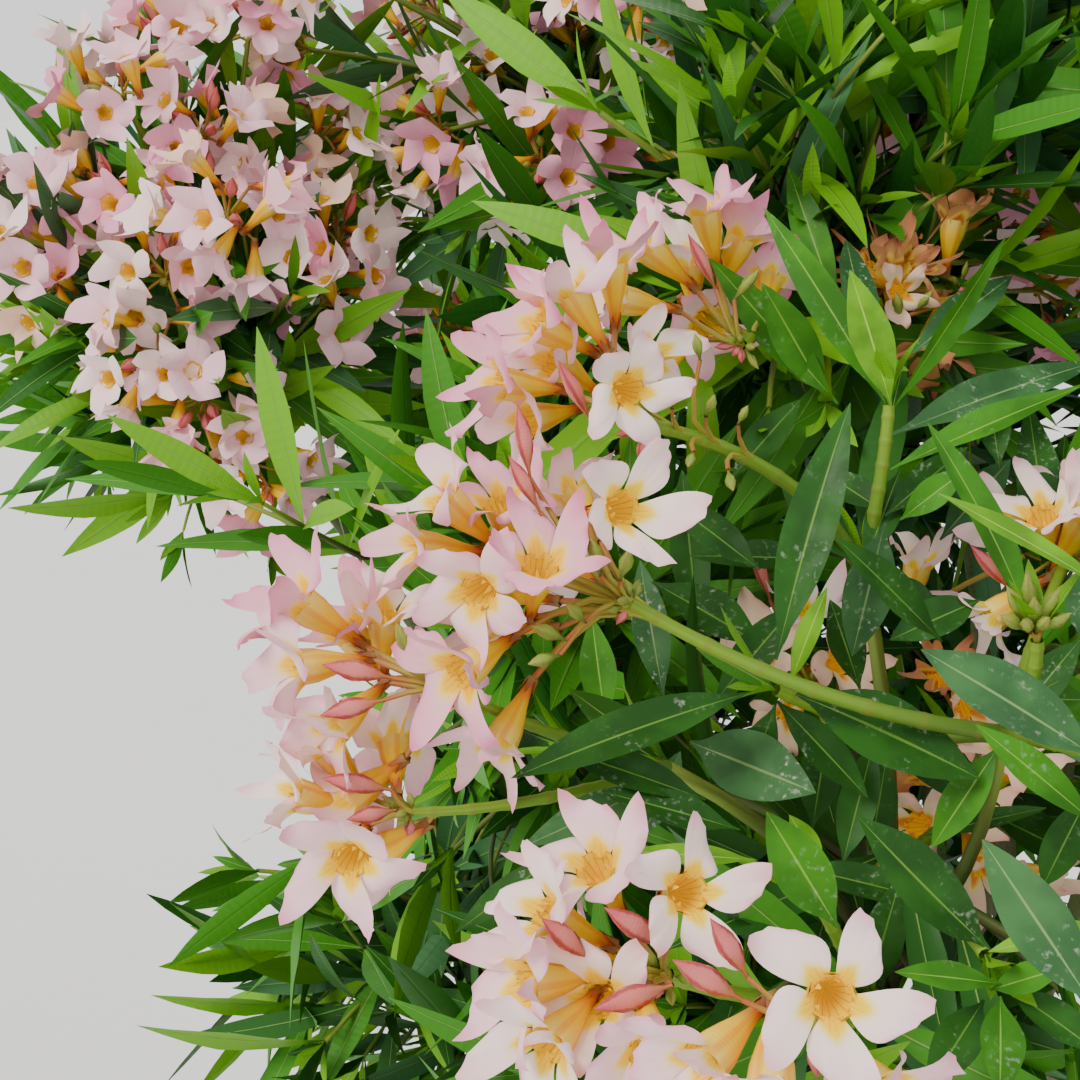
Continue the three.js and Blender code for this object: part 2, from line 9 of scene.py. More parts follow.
import bpy
import numpy as np
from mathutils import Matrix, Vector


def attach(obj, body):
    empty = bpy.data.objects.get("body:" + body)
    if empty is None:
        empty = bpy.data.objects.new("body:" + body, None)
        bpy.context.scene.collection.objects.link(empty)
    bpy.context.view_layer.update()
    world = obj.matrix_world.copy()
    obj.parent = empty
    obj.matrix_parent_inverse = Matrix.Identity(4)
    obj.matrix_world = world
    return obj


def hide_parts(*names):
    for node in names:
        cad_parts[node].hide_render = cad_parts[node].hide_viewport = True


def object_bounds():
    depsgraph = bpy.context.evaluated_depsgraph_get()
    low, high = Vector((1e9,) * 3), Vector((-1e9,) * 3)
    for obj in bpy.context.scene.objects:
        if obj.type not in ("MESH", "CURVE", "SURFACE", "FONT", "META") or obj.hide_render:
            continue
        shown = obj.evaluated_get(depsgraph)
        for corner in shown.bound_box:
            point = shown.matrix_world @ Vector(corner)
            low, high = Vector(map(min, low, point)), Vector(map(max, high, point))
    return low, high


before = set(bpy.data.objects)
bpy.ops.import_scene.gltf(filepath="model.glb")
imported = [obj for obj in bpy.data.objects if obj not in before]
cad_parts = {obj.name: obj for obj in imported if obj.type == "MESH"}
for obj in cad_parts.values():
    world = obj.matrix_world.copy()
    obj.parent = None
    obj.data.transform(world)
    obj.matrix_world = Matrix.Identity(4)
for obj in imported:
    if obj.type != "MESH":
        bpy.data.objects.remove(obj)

CAD_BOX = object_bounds()
LOG = logging.getLogger("oleander")

Array = np.ndarray
Reach = Array | float
Radii = Callable[[Array], Array]
Span = tuple[float, float]
Counts = tuple[int, int]
Outline = list[Span]
Spot = tuple[float, float, float]
Colour = tuple[float, float, float]
Material = bpy.types.Material
Socket = bpy.types.NodeSocket
Sockets = bpy.types.NodeOutputs
MM = 0.001
DEGREE = math.pi / 180
GOLDEN_TURN = 137.5 * DEGREE
UP = np.array((0.0, 0.0, 1.0))
RIGHT = np.array((1.0, 0.0, 0.0))
GAP = 0.3


# The plan of the plant, in millimetres: the same rule and seeds that shaped the solids


def unit(vector: Array) -> Array:
    """The vector at a length of one."""
    return vector / np.linalg.norm(vector, axis=-1, keepdims=True)


@dataclass(frozen=True)
class Ring:
    """One ring of foliage masses round the crown."""

    name: str
    count: int
    radius: float
    height: float
    first: float
    shoots: int


@dataclass(frozen=True)
class Lobe:
    """A direction in which the crown swells or is drawn in."""

    azimuth: float
    spread: float
    reach: float
    lift: float


class Kind(Enum):
    """What a shoot ends in."""

    BLOOM = "bloom"
    LEAFY = "leafy"


@dataclass(frozen=True)
class Place:
    """A column and row of the picture, 1080 pixels square, and a depth in millimetres."""

    column: float
    row: float
    depth: float


@dataclass(frozen=True)
class Sight:
    """The point of view from which the near side of the crown is set out."""

    eye: Spot = (-240.0, -900.0, 1240.0)
    tilt: float = 14 * DEGREE
    half_frame: float = 540.0
    half_width_per_depth: float = 0.3

    @property
    def ahead(self) -> Array:
        """The way that the view looks."""
        return np.array((0.0, math.cos(self.tilt), -math.sin(self.tilt)))

    @property
    def upward(self) -> Array:
        """The way that is up in the picture."""
        return np.array((0.0, math.sin(self.tilt), math.cos(self.tilt)))

    def point(self, place: Place) -> Array:
        """The point of the plant's frame that shows at a place.

        Args:
            place: The column, row and depth.

        Returns:
            The point, in millimetres.
        """
        scale = self.half_width_per_depth * place.depth / self.half_frame
        across = (place.column - self.half_frame) * scale
        rise = (self.half_frame - place.row) * scale
        return np.array(self.eye) + RIGHT * across + self.ahead * place.depth + self.upward * rise

    def places(self, points: Array) -> tuple[Array, Array, Array]:
        """Where points show.

        Args:
            points: Points along the last axis.

        Returns:
            Their columns, rows and depths.
        """
        offset = points - np.array(self.eye)
        depth = offset @ self.ahead
        scale = self.half_frame / (self.half_width_per_depth * np.maximum(depth, 1.0))
        column = self.half_frame + offset[..., 0] * scale
        row = self.half_frame - (offset @ self.upward) * scale
        return column, row, depth

    def facing(self, right: float, up: float, nearer: float) -> Array:
        """A direction given by how it points across, up and out of the picture."""
        return unit(RIGHT * right + self.upward * up - self.ahead * nearer)


@dataclass(frozen=True)
class NearShoot:
    """A shoot whose tip is set out by sighting."""

    kind: Kind
    tip: Place
    stem: Span = (2.6, 2.0)


RINGS = (
    Ring("skirt", 7, 250, 795, 232, 3),
    Ring("flank", 9, 345, 985, 250, 5),
    Ring("shoulder", 5, 200, 1150, 229, 5),
    Ring("top", 2, 78, 1215, 200, 5),
)
FLANK_RADIUS = RINGS[1].radius
LOBES = (Lobe(165, 28, 60, 120), Lobe(212, 20, -82, -10), Lobe(254, 22, 22, 10))
NEAR_SHOOTS = tuple(
    NearShoot(Kind(kind), Place(*tip), *stem)
    for kind, tip, *stem in (
        ("bloom", (742, 345, 640)),
        ("bloom", (648, 425, 572)),
        ("bloom", (632, 604, 545)),
        ("bloom", (452, 692, 548), (2.4, 1.5)),
        ("bloom", (412, 812, 545), (2.3, 1.4)),
        ("bloom", (668, 975, 480)),
        ("bloom", (812, 1030, 425)),
        ("bloom", (812, 690, 655)),
        ("bloom", (985, 800, 640)),
        ("bloom", (1065, 560, 610)),
        ("leafy", (889, 405, 600)),
        ("leafy", (826, 402, 655)),
        ("leafy", (776, 690, 566)),
        ("leafy", (1037, 640, 520)),
        ("leafy", (985, 955, 505)),
        ("leafy", (820, 905, 540)),
        ("leafy", (1040, 800, 440)),
        ("leafy", (960, 290, 700)),
    )
)
SIGHT = Sight()
NEAR_DEPTH = 720
CLOSE_DEPTH = 960
PICTURE_EDGE = 30
# The columns and rows that part the picture, which is open left of the first between the next two
OPEN_SIDE = 400
OPEN_TOP = 560
OPEN_FOOT = 850
MIDDLE_COLUMN = 640
UPPER_ROW = 520
LOWER_ROW = 800
APART = 62
REACH = 138
SPACE_MARGIN = 0.8


class Seeded:
    """A small generator of numbers from 0 to 1 that gives the same row for the same seed."""

    def __init__(self, seed: int) -> None:
        """Starts the row at a seed."""
        self.state = seed

    def draw(self) -> float:
        """The next number from 0 to 1."""
        whole = 0xFFFFFFFF
        self.state = (self.state + 0x6D2B79F5) & whole
        mixed = ((self.state ^ (self.state >> 15)) * (self.state | 1)) & whole
        mixed ^= (mixed + (mixed ^ (mixed >> 7)) * (mixed | 61)) & whole
        return (mixed ^ (mixed >> 14)) / 4294967296

    def spread(self, low: float, high: float) -> float:
        """The next number, from low to high."""
        return low + (high - low) * self.draw()


def polar(radius: float, azimuth: float, height: float) -> Array:
    """The point at a radius, an azimuth in degrees and a height."""
    angle = azimuth * DEGREE
    return np.array((radius * math.cos(angle), radius * math.sin(angle), height))


def square_to(axis: Array) -> Array:
    """A unit vector square to the axis, the same one every time."""
    other = UP if abs(axis[2]) < 0.9 else RIGHT
    return unit(np.cross(axis, other))


def leaning(axis: Array, lean: float, turn: float) -> Array:
    """The axis tipped away from itself by lean, towards a turn round it.

    Args:
        axis: A unit vector.
        lean: How far it is tipped, in radians.
        turn: Where round the axis it goes.

    Returns:
        The tipped unit vector.
    """
    side = square_to(axis)
    other = np.cross(axis, side)
    sideways = side * math.cos(turn) + other * math.sin(turn)
    return unit(axis * math.cos(lean) + sideways * math.sin(lean))


class Arc:
    """A curve of three points that is followed by its own length."""

    steps = np.linspace(0.0, 1.0, 201)

    def __init__(self, start: Array, bend: Array, end: Array) -> None:
        """Measures the curve from start to end, drawn towards bend.

        Args:
            start: Its first point.
            bend: The point that it is drawn towards.
            end: Its last point.
        """
        self.start = start
        self.bend = bend
        self.end = end
        strides = np.linalg.norm(np.diff(self.drawn(self.steps), axis=0), axis=1)
        self.lengths = np.concatenate(([0.0], np.cumsum(strides)))

    @property
    def length(self) -> float:
        """The curve's length in millimetres."""
        return float(self.lengths[-1])

    def drawn(self, parameter: Reach) -> Array:
        """The points at values of the curve's own parameter."""
        at = np.asarray(parameter)[..., None]
        return (1 - at) ** 2 * self.start + 2 * (1 - at) * at * self.bend + at**2 * self.end

    def at(self, share: Reach) -> Array:
        """The points at shares of the length."""
        return self.drawn(np.interp(np.asarray(share) * self.length, self.lengths, self.steps))

    def along(self, share: Reach) -> Array:
        """The ways that the curve runs at shares of the length."""
        at = np.interp(np.asarray(share) * self.length, self.lengths, self.steps)[..., None]
        return unit((1 - at) * (self.bend - self.start) + at * (self.end - self.bend))


@dataclass
class Limb:
    """A stem or a bough: its line and how thick it is."""

    name: str
    arc: Arc
    foot_radius: float
    tip_radius: float
    flare: float = 0.0
    flare_height: float = 45.0
    sunk: float = 12.0

    def radius_at(self, share: Reach) -> Array:
        """The radii at shares of the length, with the flare where the stem leaves the compost."""
        height = np.maximum(0.0, np.asarray(share) * self.arc.length - self.sunk)
        taper = self.foot_radius + (self.tip_radius - self.foot_radius) * np.asarray(share)
        return taper * (1 + self.flare * np.exp(-2 * height / self.flare_height))


@dataclass
class Shoot:
    """One leafy or flowering shoot of a mass."""

    kind: Kind
    tip: Array
    near: int | None
    arc: Arc | None = None


@dataclass
class Mass:
    """One mass of foliage, on its own bough and in its own space."""

    name: str
    ring: str
    azimuth: float
    heart: Array
    shoot_count: int
    bough: Limb | None = None
    stem: Arc | None = None
    shoots: list[Shoot] = field(default_factory=list)


def angle_between(first: float, second: float) -> float:
    """The angle between two azimuths, in degrees."""
    return abs((first - second + 540) % 360 - 180)


@dataclass
class Crown:
    """The stems, boughs, masses and shoots, set out by the rule and seeds that shaped the solids."""

    soil_top: float = 300.0
    ring_stems: int = 6
    foot_ring: float = 54.0
    tip_ring: float = 118.0
    first_azimuth: float = 8.0
    stem_foot: float = 11.5
    stem_tip: float = 7.5
    stem_flare: float = 0.65
    tip_height: float = 590.0
    azimuth_play: float = 14
    height_play: float = 70
    radius_play: float = 24
    tip_play: float = 16
    middle_foot: Span = (3.0, -2.0)
    middle_tip: Span = (10.0, -14.0)
    middle_tip_height: float = 700.0
    sunk: float = 12.0
    bough_foot_share: float = 0.86
    bough_tip: float = 4.2
    short_of_mass: float = 70.0
    lowest_start: float = 0.6
    dome: float = 88 * DEGREE
    flowering: float = 0.56
    twig_radius: float = 2.4
    masses: list[Mass] = field(default_factory=list)
    stems: list[Limb] = field(default_factory=list)
    stem_azimuths: list[float] = field(default_factory=list)

    def grow(self) -> None:
        """Sets out every stem, mass, bough and shoot."""
        self.plan_masses()
        self.plan_stems()
        self.plan_boughs()
        for index, mass in enumerate(self.masses):
            self.plan_shoots(mass, Seeded(100 + index))
            self.plan_twigs(mass)
            mass.shoots = [shoot for shoot in mass.shoots if self.fits(shoot.arc, mass)]

    @staticmethod
    def swell(azimuth: float, key: str) -> float:
        """How far the lobes reach out or lift the crown at an azimuth.

        Args:
            azimuth: The side of the plant, in degrees.
            key: Whether reach or lift is asked for.

        Returns:
            The sum over the lobes, in millimetres.
        """
        total = 0.0
        for lobe in LOBES:
            away = (azimuth - lobe.azimuth + 540) % 360 - 180
            total += getattr(lobe, key) * math.exp(-((away / lobe.spread) ** 2))
        return total

    def plan_masses(self) -> None:
        """Sets out the hearts of the masses in their rings."""
        for level, ring in enumerate(RINGS):
            share = ring.radius / FLANK_RADIUS
            for index in range(ring.count):
                azimuth = (ring.first + 360 * index / ring.count) % 360
                radius = ring.radius + share * self.swell(azimuth, "reach")
                height = ring.height + (self.swell(azimuth, "lift") * share if level else 0)
                heart = polar(radius, azimuth, height)
                name = f"{ring.name}_mass_{index + 1}"
                self.masses.append(Mass(name, ring.name, azimuth, heart, ring.shoots))

    def plan_stems(self) -> None:
        """Sets out the ring of stems and the one in the middle."""
        random = Seeded(11)
        for index in range(self.ring_stems):
            azimuth = self.first_azimuth + 360 * index / self.ring_stems
            azimuth += (random.draw() - 0.5) * self.azimuth_play
            height = self.tip_height + (random.draw() - 0.5) * self.height_play
            foot = polar(self.foot_ring, azimuth, self.soil_top - self.sunk)
            radius = self.tip_ring + (random.draw() - 0.5) * self.radius_play
            tip = polar(radius, azimuth + (random.draw() - 0.5) * self.tip_play, height)
            self.add_stem(foot, tip, azimuth)
        foot = np.array((*self.middle_foot, self.soil_top - self.sunk))
        self.add_stem(foot, np.array((*self.middle_tip, self.middle_tip_height)), 0.0)

    def add_stem(self, foot: Array, tip: Array, azimuth: float) -> None:
        """Adds one stem, which rises steeply and then leans out.

        Args:
            foot: Where it starts, a little below the top of the compost.
            tip: Where it forks.
            azimuth: The side of the plant that it stands on.
        """
        bend = foot + (tip - foot) * 0.45
        bend[:2] += (foot[:2] - bend[:2]) * 0.55
        arc = Arc(foot, bend, tip)
        limb = Limb(f"stem_{len(self.stems) + 1}", arc, self.stem_foot, self.stem_tip, self.stem_flare)
        self.stems.append(limb)
        self.stem_azimuths.append(azimuth)

    def stem_for(self, mass: Mass) -> int:
        """The number of the stem that a mass hangs on."""
        if mass.ring == "top":
            return len(self.stems) - 1
        gaps = [angle_between(azimuth, mass.azimuth) for azimuth in self.stem_azimuths[:-1]]
        return gaps.index(min(gaps))

    def plan_boughs(self) -> None:
        """Gives each mass its bough, the highest of a stem carrying that stem on from its tip."""
        for number, stem in enumerate(self.stems):
            own = sorted((m for m in self.masses if self.stem_for(m) == number), key=lambda m: m.heart[2])
            for index, mass in enumerate(own):
                last = index == len(own) - 1
                share = 1.0 if last else self.lowest_start + 0.33 * index / max(1, len(own) - 2)
                along = stem.arc.along(share)
                foot = stem.arc.at(share) + along * (GAP if last else 0.0)
                reach = mass.heart - foot
                length = float(np.linalg.norm(reach))
                tip = mass.heart - reach / length * self.short_of_mass
                bend = foot + along * length * (0.4 if last else 0.3)
                if not last:
                    bend += np.array((reach[0], reach[1], 0.0)) * 0.2
                tip[2] -= 12
                foot_radius = float(stem.radius_at(share)) * (0.98 if last else self.bough_foot_share)
                name = mass.name.replace("mass", "bough")
                mass.bough = Limb(name, Arc(foot, bend, tip), foot_radius, self.bough_tip)

    def in_space(self, points: Array, mass: Mass) -> bool:
        """True if points are all on the mass's side of each plane halfway to another mass.

        Args:
            points: Points, or one point.
            mass: The mass.

        Returns:
            Whether all of them are.
        """
        for other in self.masses:
            if other is mass:
                continue
            across = other.heart - mass.heart
            halfway = np.linalg.norm(across) / 2
            if np.any((points - mass.heart) @ unit(across) >= halfway - SPACE_MARGIN):
                return False
        return True

    def nearest(self, point: Array) -> Mass:
        """The mass whose heart is nearest to a point."""
        return min(self.masses, key=lambda mass: float(np.sum((mass.heart - point) ** 2)))

    def plan_shoots(self, mass: Mass, random: Seeded) -> None:
        """Sets out the tips of a mass's shoots: the sighted ones, then seeded ones round its heart.

        Args:
            mass: The mass that they belong to.
            random: The mass's own row of numbers.
        """
        near_tips = [SIGHT.point(shoot.tip) for shoot in NEAR_SHOOTS]
        for number, tip in enumerate(near_tips):
            if self.nearest(tip) is mass:
                mass.shoots.append(Shoot(NEAR_SHOOTS[number].kind, tip, number))
        outward = outward_of(mass)
        for index in range(mass.shoot_count):
            lean = math.acos(1 - (index + 0.4) / mass.shoot_count * (1 - math.cos(self.dome)))
            turn = index * GOLDEN_TURN + random.draw() * 0.7
            length = REACH * (0.84 + 0.3 * random.draw())
            blooms = random.draw() < self.flowering
            tip = self.first_place(mass, leaning(outward, lean, turn), length)
            allowed = allowed_at(tip) if tip is not None else View.NONE
            if allowed is View.NONE or min(np.linalg.norm(near - tip) for near in near_tips) <= APART:
                continue
            kind = Kind.BLOOM if blooms and allowed is View.EITHER else Kind.LEAFY
            mass.shoots.append(Shoot(kind, tip, None))

    def first_place(self, mass: Mass, direction: Array, length: float) -> Array | None:
        """The furthest place along a direction from a mass's heart that is in its space.

        Args:
            mass: The mass.
            direction: The way out from its heart.
            length: How far out the search starts.

        Returns:
            The place, or nothing if there is none in the outer half.
        """
        share = 1.0
        while share > 0.5:
            place = mass.heart + direction * length * share + UP * 14
            if self.in_space(place, mass):
                return place
            share -= 0.12
        return None

    def plan_twigs(self, mass: Mass) -> None:
        """Draws a mass's own stem from its bough's tip to its heart, and its shoots from that stem."""
        along = mass.bough.arc.along(1.0)
        foot = mass.bough.arc.end + along * GAP
        bend = foot + along * float(np.linalg.norm(foot - mass.heart)) * 0.5
        mass.stem = Arc(foot, bend, mass.heart)
        for index, shoot in enumerate(mass.shoots):
            share = 0.48 + 0.46 * (index + 1) / len(mass.shoots)
            shoot.arc = self.branch(mass.stem, share, shoot.tip, 0.34)

    @staticmethod
    def branch(parent: Arc, share: float, tip: Array, pull: float) -> Arc:
        """A twig that leaves a parent along its own way and bends to a tip."""
        start = parent.at(share)
        reach = float(np.linalg.norm(start - tip))
        return Arc(start, start + parent.along(share) * reach * pull, tip)

    def fits(self, arc: Arc, mass: Mass) -> bool:
        """True if a twig keeps to its mass's space and clear of every limb.

        Args:
            arc: The twig's line.
            mass: The mass that it belongs to.

        Returns:
            Whether the solids have that twig too.
        """
        places = arc.drawn(np.linspace(0.0, 1.0, 13))
        if not self.in_space(places, mass):
            return False
        for limb in [*self.stems, *(other.bough for other in self.masses)]:
            shares = np.linspace(0.0, 1.0, math.ceil(limb.arc.length / 5) + 1)
            gaps = np.linalg.norm(limb.arc.at(shares)[:, None] - places[None, 1:], axis=2)
            if np.any(gaps <= limb.radius_at(shares)[:, None] + self.twig_radius + GAP):
                return False
        return True


class View(Enum):
    """Which shoots a place in the picture allows."""

    NONE = "none"
    LEAFY = "leafy"
    EITHER = "either"


def outward_of(mass: Mass) -> Array:
    """The way that a mass grows: out from the middle of the crown, and up."""
    return unit(unit(mass.heart - np.array((0.0, 0.0, 900.0))) + UP * 0.35)


def shows(column: float, row: float, edge: float) -> bool:
    """True if a column and row are in the picture or within an edge round it."""
    side = 2 * SIGHT.half_frame
    return -edge <= column <= side + edge and -edge <= row <= side + edge


def allowed_at(point: Array) -> View:
    """Which seeded shoots may have their tip at a point.

    Args:
        point: The tip, in millimetres.

    Returns:
        What the picture shows there.
    """
    column, row, depth = (float(value) for value in SIGHT.places(point))
    if not shows(column, row, 70):
        return View.EITHER
    open_side = column < OPEN_SIDE and OPEN_TOP < row < OPEN_FOOT
    if depth < NEAR_DEPTH or open_side:
        return View.NONE
    return View.EITHER if column < MIDDLE_COLUMN and row < UPPER_ROW else View.LEAFY


# Meshes, gathered from many grids of points


class Patches:
    """Gathers grids of points into one mesh of four-sided faces, each grid with a pattern from 0 to 1."""

    def __init__(self) -> None:
        """Starts with no grids."""
        self.points: list[Array] = []
        self.corners: list[Array] = []
        self.pattern: list[Array] = []
        self.count = 0

    def add(self, grids: Array, closed: bool = False) -> None:
        """Adds grids of points.

        Args:
            grids: Points in millimetres, by grid, row, column and coordinate.
            closed: Whether the last column of a grid joins its first.
        """
        number, rows, columns, _ = grids.shape
        spans = columns if closed else columns - 1
        row, column = (part.reshape(-1, 1) for part in np.mgrid[0 : rows - 1, 0:spans])
        rows_at = row + np.array((0, 0, 1, 1))
        columns_at = column + np.array((0, 1, 1, 0))
        corners = rows_at * columns + columns_at % columns
        pattern = np.stack((columns_at / spans, rows_at / (rows - 1)), axis=-1)
        starts = self.count + np.arange(number)[:, None, None] * rows * columns
        self.points.append(grids.reshape(-1, 3))
        self.corners.append((starts + corners[None]).reshape(-1, 4))
        self.pattern.append(np.tile(pattern.reshape(-1, 2), (number, 1)))
        self.count += number * rows * columns

    def piece(self, name: str, material: Material) -> bpy.types.Object:
        """Makes one object of the grids.

        Args:
            name: The object's name.
            material: What it is made of.

        Returns:
            The object, riding on the plant's one body.
        """
        points = np.concatenate(self.points) * MM
        corners = np.concatenate(self.corners)
        mesh = bpy.data.meshes.new(name)
        mesh.vertices.add(len(points))
        mesh.vertices.foreach_set("co", points.ravel())
        mesh.loops.add(corners.size)
        mesh.loops.foreach_set("vertex_index", corners.ravel())
        mesh.polygons.add(len(corners))
        mesh.polygons.foreach_set("loop_start", np.arange(len(corners)) * 4)
        layer = mesh.uv_layers.new(name="pattern")
        layer.data.foreach_set("uv", np.concatenate(self.pattern).ravel())
        mesh.update(calc_edges=True)
        mesh.shade_smooth()
        mesh.materials.append(material)
        piece = bpy.data.objects.new(name, mesh)
        bpy.context.collection.objects.link(piece)
        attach(piece, "root")
        LOG.info("%s: %d faces", name, len(corners))
        return piece


def down(rows: int) -> Array:
    """The shares of a grid's length at its rows."""
    return np.linspace(0.0, 1.0, rows + 1)[:, None]


def over(columns: int) -> Array:
    """How far a grid's columns are to one side or the other of its middle, from -1 to 1."""
    return np.linspace(-1.0, 1.0, columns + 1)


def turns(sides: int) -> Array:
    """The angles of the sides of a round grid."""
    return np.arange(sides) * math.tau / sides


def spun(points: Array, angle: Array, first: int, second: int) -> Array:
    """Points turned by an angle in the plane of two of their coordinates.

    Args:
        points: The points, by their last axis.
        angle: The angle, for each of them.
        first: The number of the coordinate that is turned from.
        second: The number of the one that is turned towards.

    Returns:
        The turned points.
    """
    here, there = points[..., first], points[..., second]
    moved = points.copy()
    moved[..., first] = here * np.cos(angle) - there * np.sin(angle)
    moved[..., second] = here * np.sin(angle) + there * np.cos(angle)
    return moved


def turned(radii: Array, heights: Array, turn: Array) -> Array:
    """Points at radii and heights round an upright axis."""
    return np.stack(np.broadcast_arrays(radii * np.cos(turn), radii * np.sin(turn), heights), axis=-1)


def gathered(things: list, name: str) -> Array:
    """One value of every leaf, flower or bud, ready to go with the rows and columns of its grid."""
    values = np.array([getattr(thing, name) for thing in things])
    return values.reshape(len(things), 1, 1, *values.shape[1:])


def frames_along(arc: Arc, shares: Array) -> tuple[Array, Array]:
    """Two directions square to a curve and to each other at each share, which turn with it and don't spin.

    Args:
        arc: The curve.
        shares: Where along it.

    Returns:
        The first and second directions.
    """
    along = arc.along(shares)
    first = np.empty_like(along)
    side = square_to(along[0])
    for index, way in enumerate(along):
        side = unit(side - way * (side @ way))
        first[index] = side
    return first, np.cross(along, first)


def tube_grid(arc: Arc, radii: Radii, steps: int, sides: int, relief: Reach = 0.0) -> Array:
    """A round tube along a curve, as one grid.

    Args:
        arc: The line down its middle.
        radii: The radius at shares of the length.
        steps: How many spans it has along its length.
        sides: How many it has round.
        relief: What is added to the radius, by row and column.

    Returns:
        The grid, to be added as closed.
    """
    shares = np.linspace(0.0, 1.0, steps + 1)
    first, second = frames_along(arc, shares)
    turn = turns(sides)[:, None]
    radius = (np.broadcast_to(radii(shares), shares.shape)[:, None] + relief)[..., None]
    round_it = first[:, None] * np.cos(turn) + second[:, None] * np.sin(turn)
    return (arc.at(shares)[:, None] + round_it * radius)[None]


def tapered(foot: float, tip: float) -> Radii:
    """A rule for a radius that goes evenly from foot to tip."""
    return lambda share: foot + (tip - foot) * np.asarray(share)


# Leaves


class Tint(Enum):
    """The greens of the leaves, dealt out by spray."""

    DARK = "dark"
    MID = "mid"
    YOUNG = "young"
    DUSTY = "dusty"


@dataclass
class Leaf:
    """One leaf: where it leaves its twig, how it runs and how it is shaped, in millimetres."""

    base: Array
    way: Array
    face: Array
    length: float
    width: float
    droop: float = 0.08
    sway: float = 0.0
    fold: float = 0.22
    ripple: float = 0.05
    phase: float = 0.0


def blade(along: Array) -> Array:
    """The outline of a leaf as a share of its half width: a short stalk, a broad middle, a sharp tip."""
    stalk = 0.07
    stalk_width = 0.11
    past_stalk = np.clip((along - stalk) / (1 - stalk), 0.0, 1.0)
    lance = np.sin(math.pi * past_stalk**0.9) ** 0.9
    joint = np.minimum(1.0, 0.35 + along / 0.05)
    return np.maximum(lance, stalk_width * (1 - along**3) * joint + 0.015)


def leaf_grids(leaves: list[Leaf], rows: int, columns: int, rib: float = 0.0) -> Array:
    """Shapes leaves, or the pale ribs that run down their middles.

    Args:
        leaves: The leaves.
        rows: How many spans each has along its length.
        columns: How many it has across.
        rib: How wide the ribs are at their foot, or nothing for the leaves themselves.

    Returns:
        Their grids.
    """
    along, across = down(rows), over(columns)
    way = gathered(leaves, "way")
    side = unit(np.cross(way, gathered(leaves, "face")))
    face = np.cross(side, way)
    length = gathered(leaves, "length")
    half = rib / 2 * (1 - 0.7 * along) if rib else gathered(leaves, "width") / 2 * blade(along)
    fold = gathered(leaves, "fold") * (1 - 0.5 * along)
    wave = gathered(leaves, "ripple") * np.sin(11 * along + gathered(leaves, "phase")) * across
    sideways = half * across * np.cos(fold) + gathered(leaves, "sway") * length * along**2
    sunk = gathered(leaves, "droop") * length * along**2
    rise = half * (np.abs(across) * np.sin(fold) + wave) - sunk + 0.2 * rib
    forward = length * along
    parts = (side * sideways[..., None], face * rise[..., None], way * forward[..., None])
    return gathered(leaves, "base") + sum(parts)


# Flowers


class Tone(Enum):
    """The colours of the petals, dealt out by flower."""

    PALE = "pale"
    PINK = "pink"
    CREAM = "cream"
    FADED = "faded"
    WITHERED = "withered"


@dataclass
class Flower:
    """One flower: its mouth, the way it faces and how far its petals are open."""

    centre: Array
    facing: Array
    tone: Tone
    size: float = 1.0
    spin: float = 0.0
    open_angle: float = 32 * DEGREE
    crumple: float = 0.0
    seed: int = 0


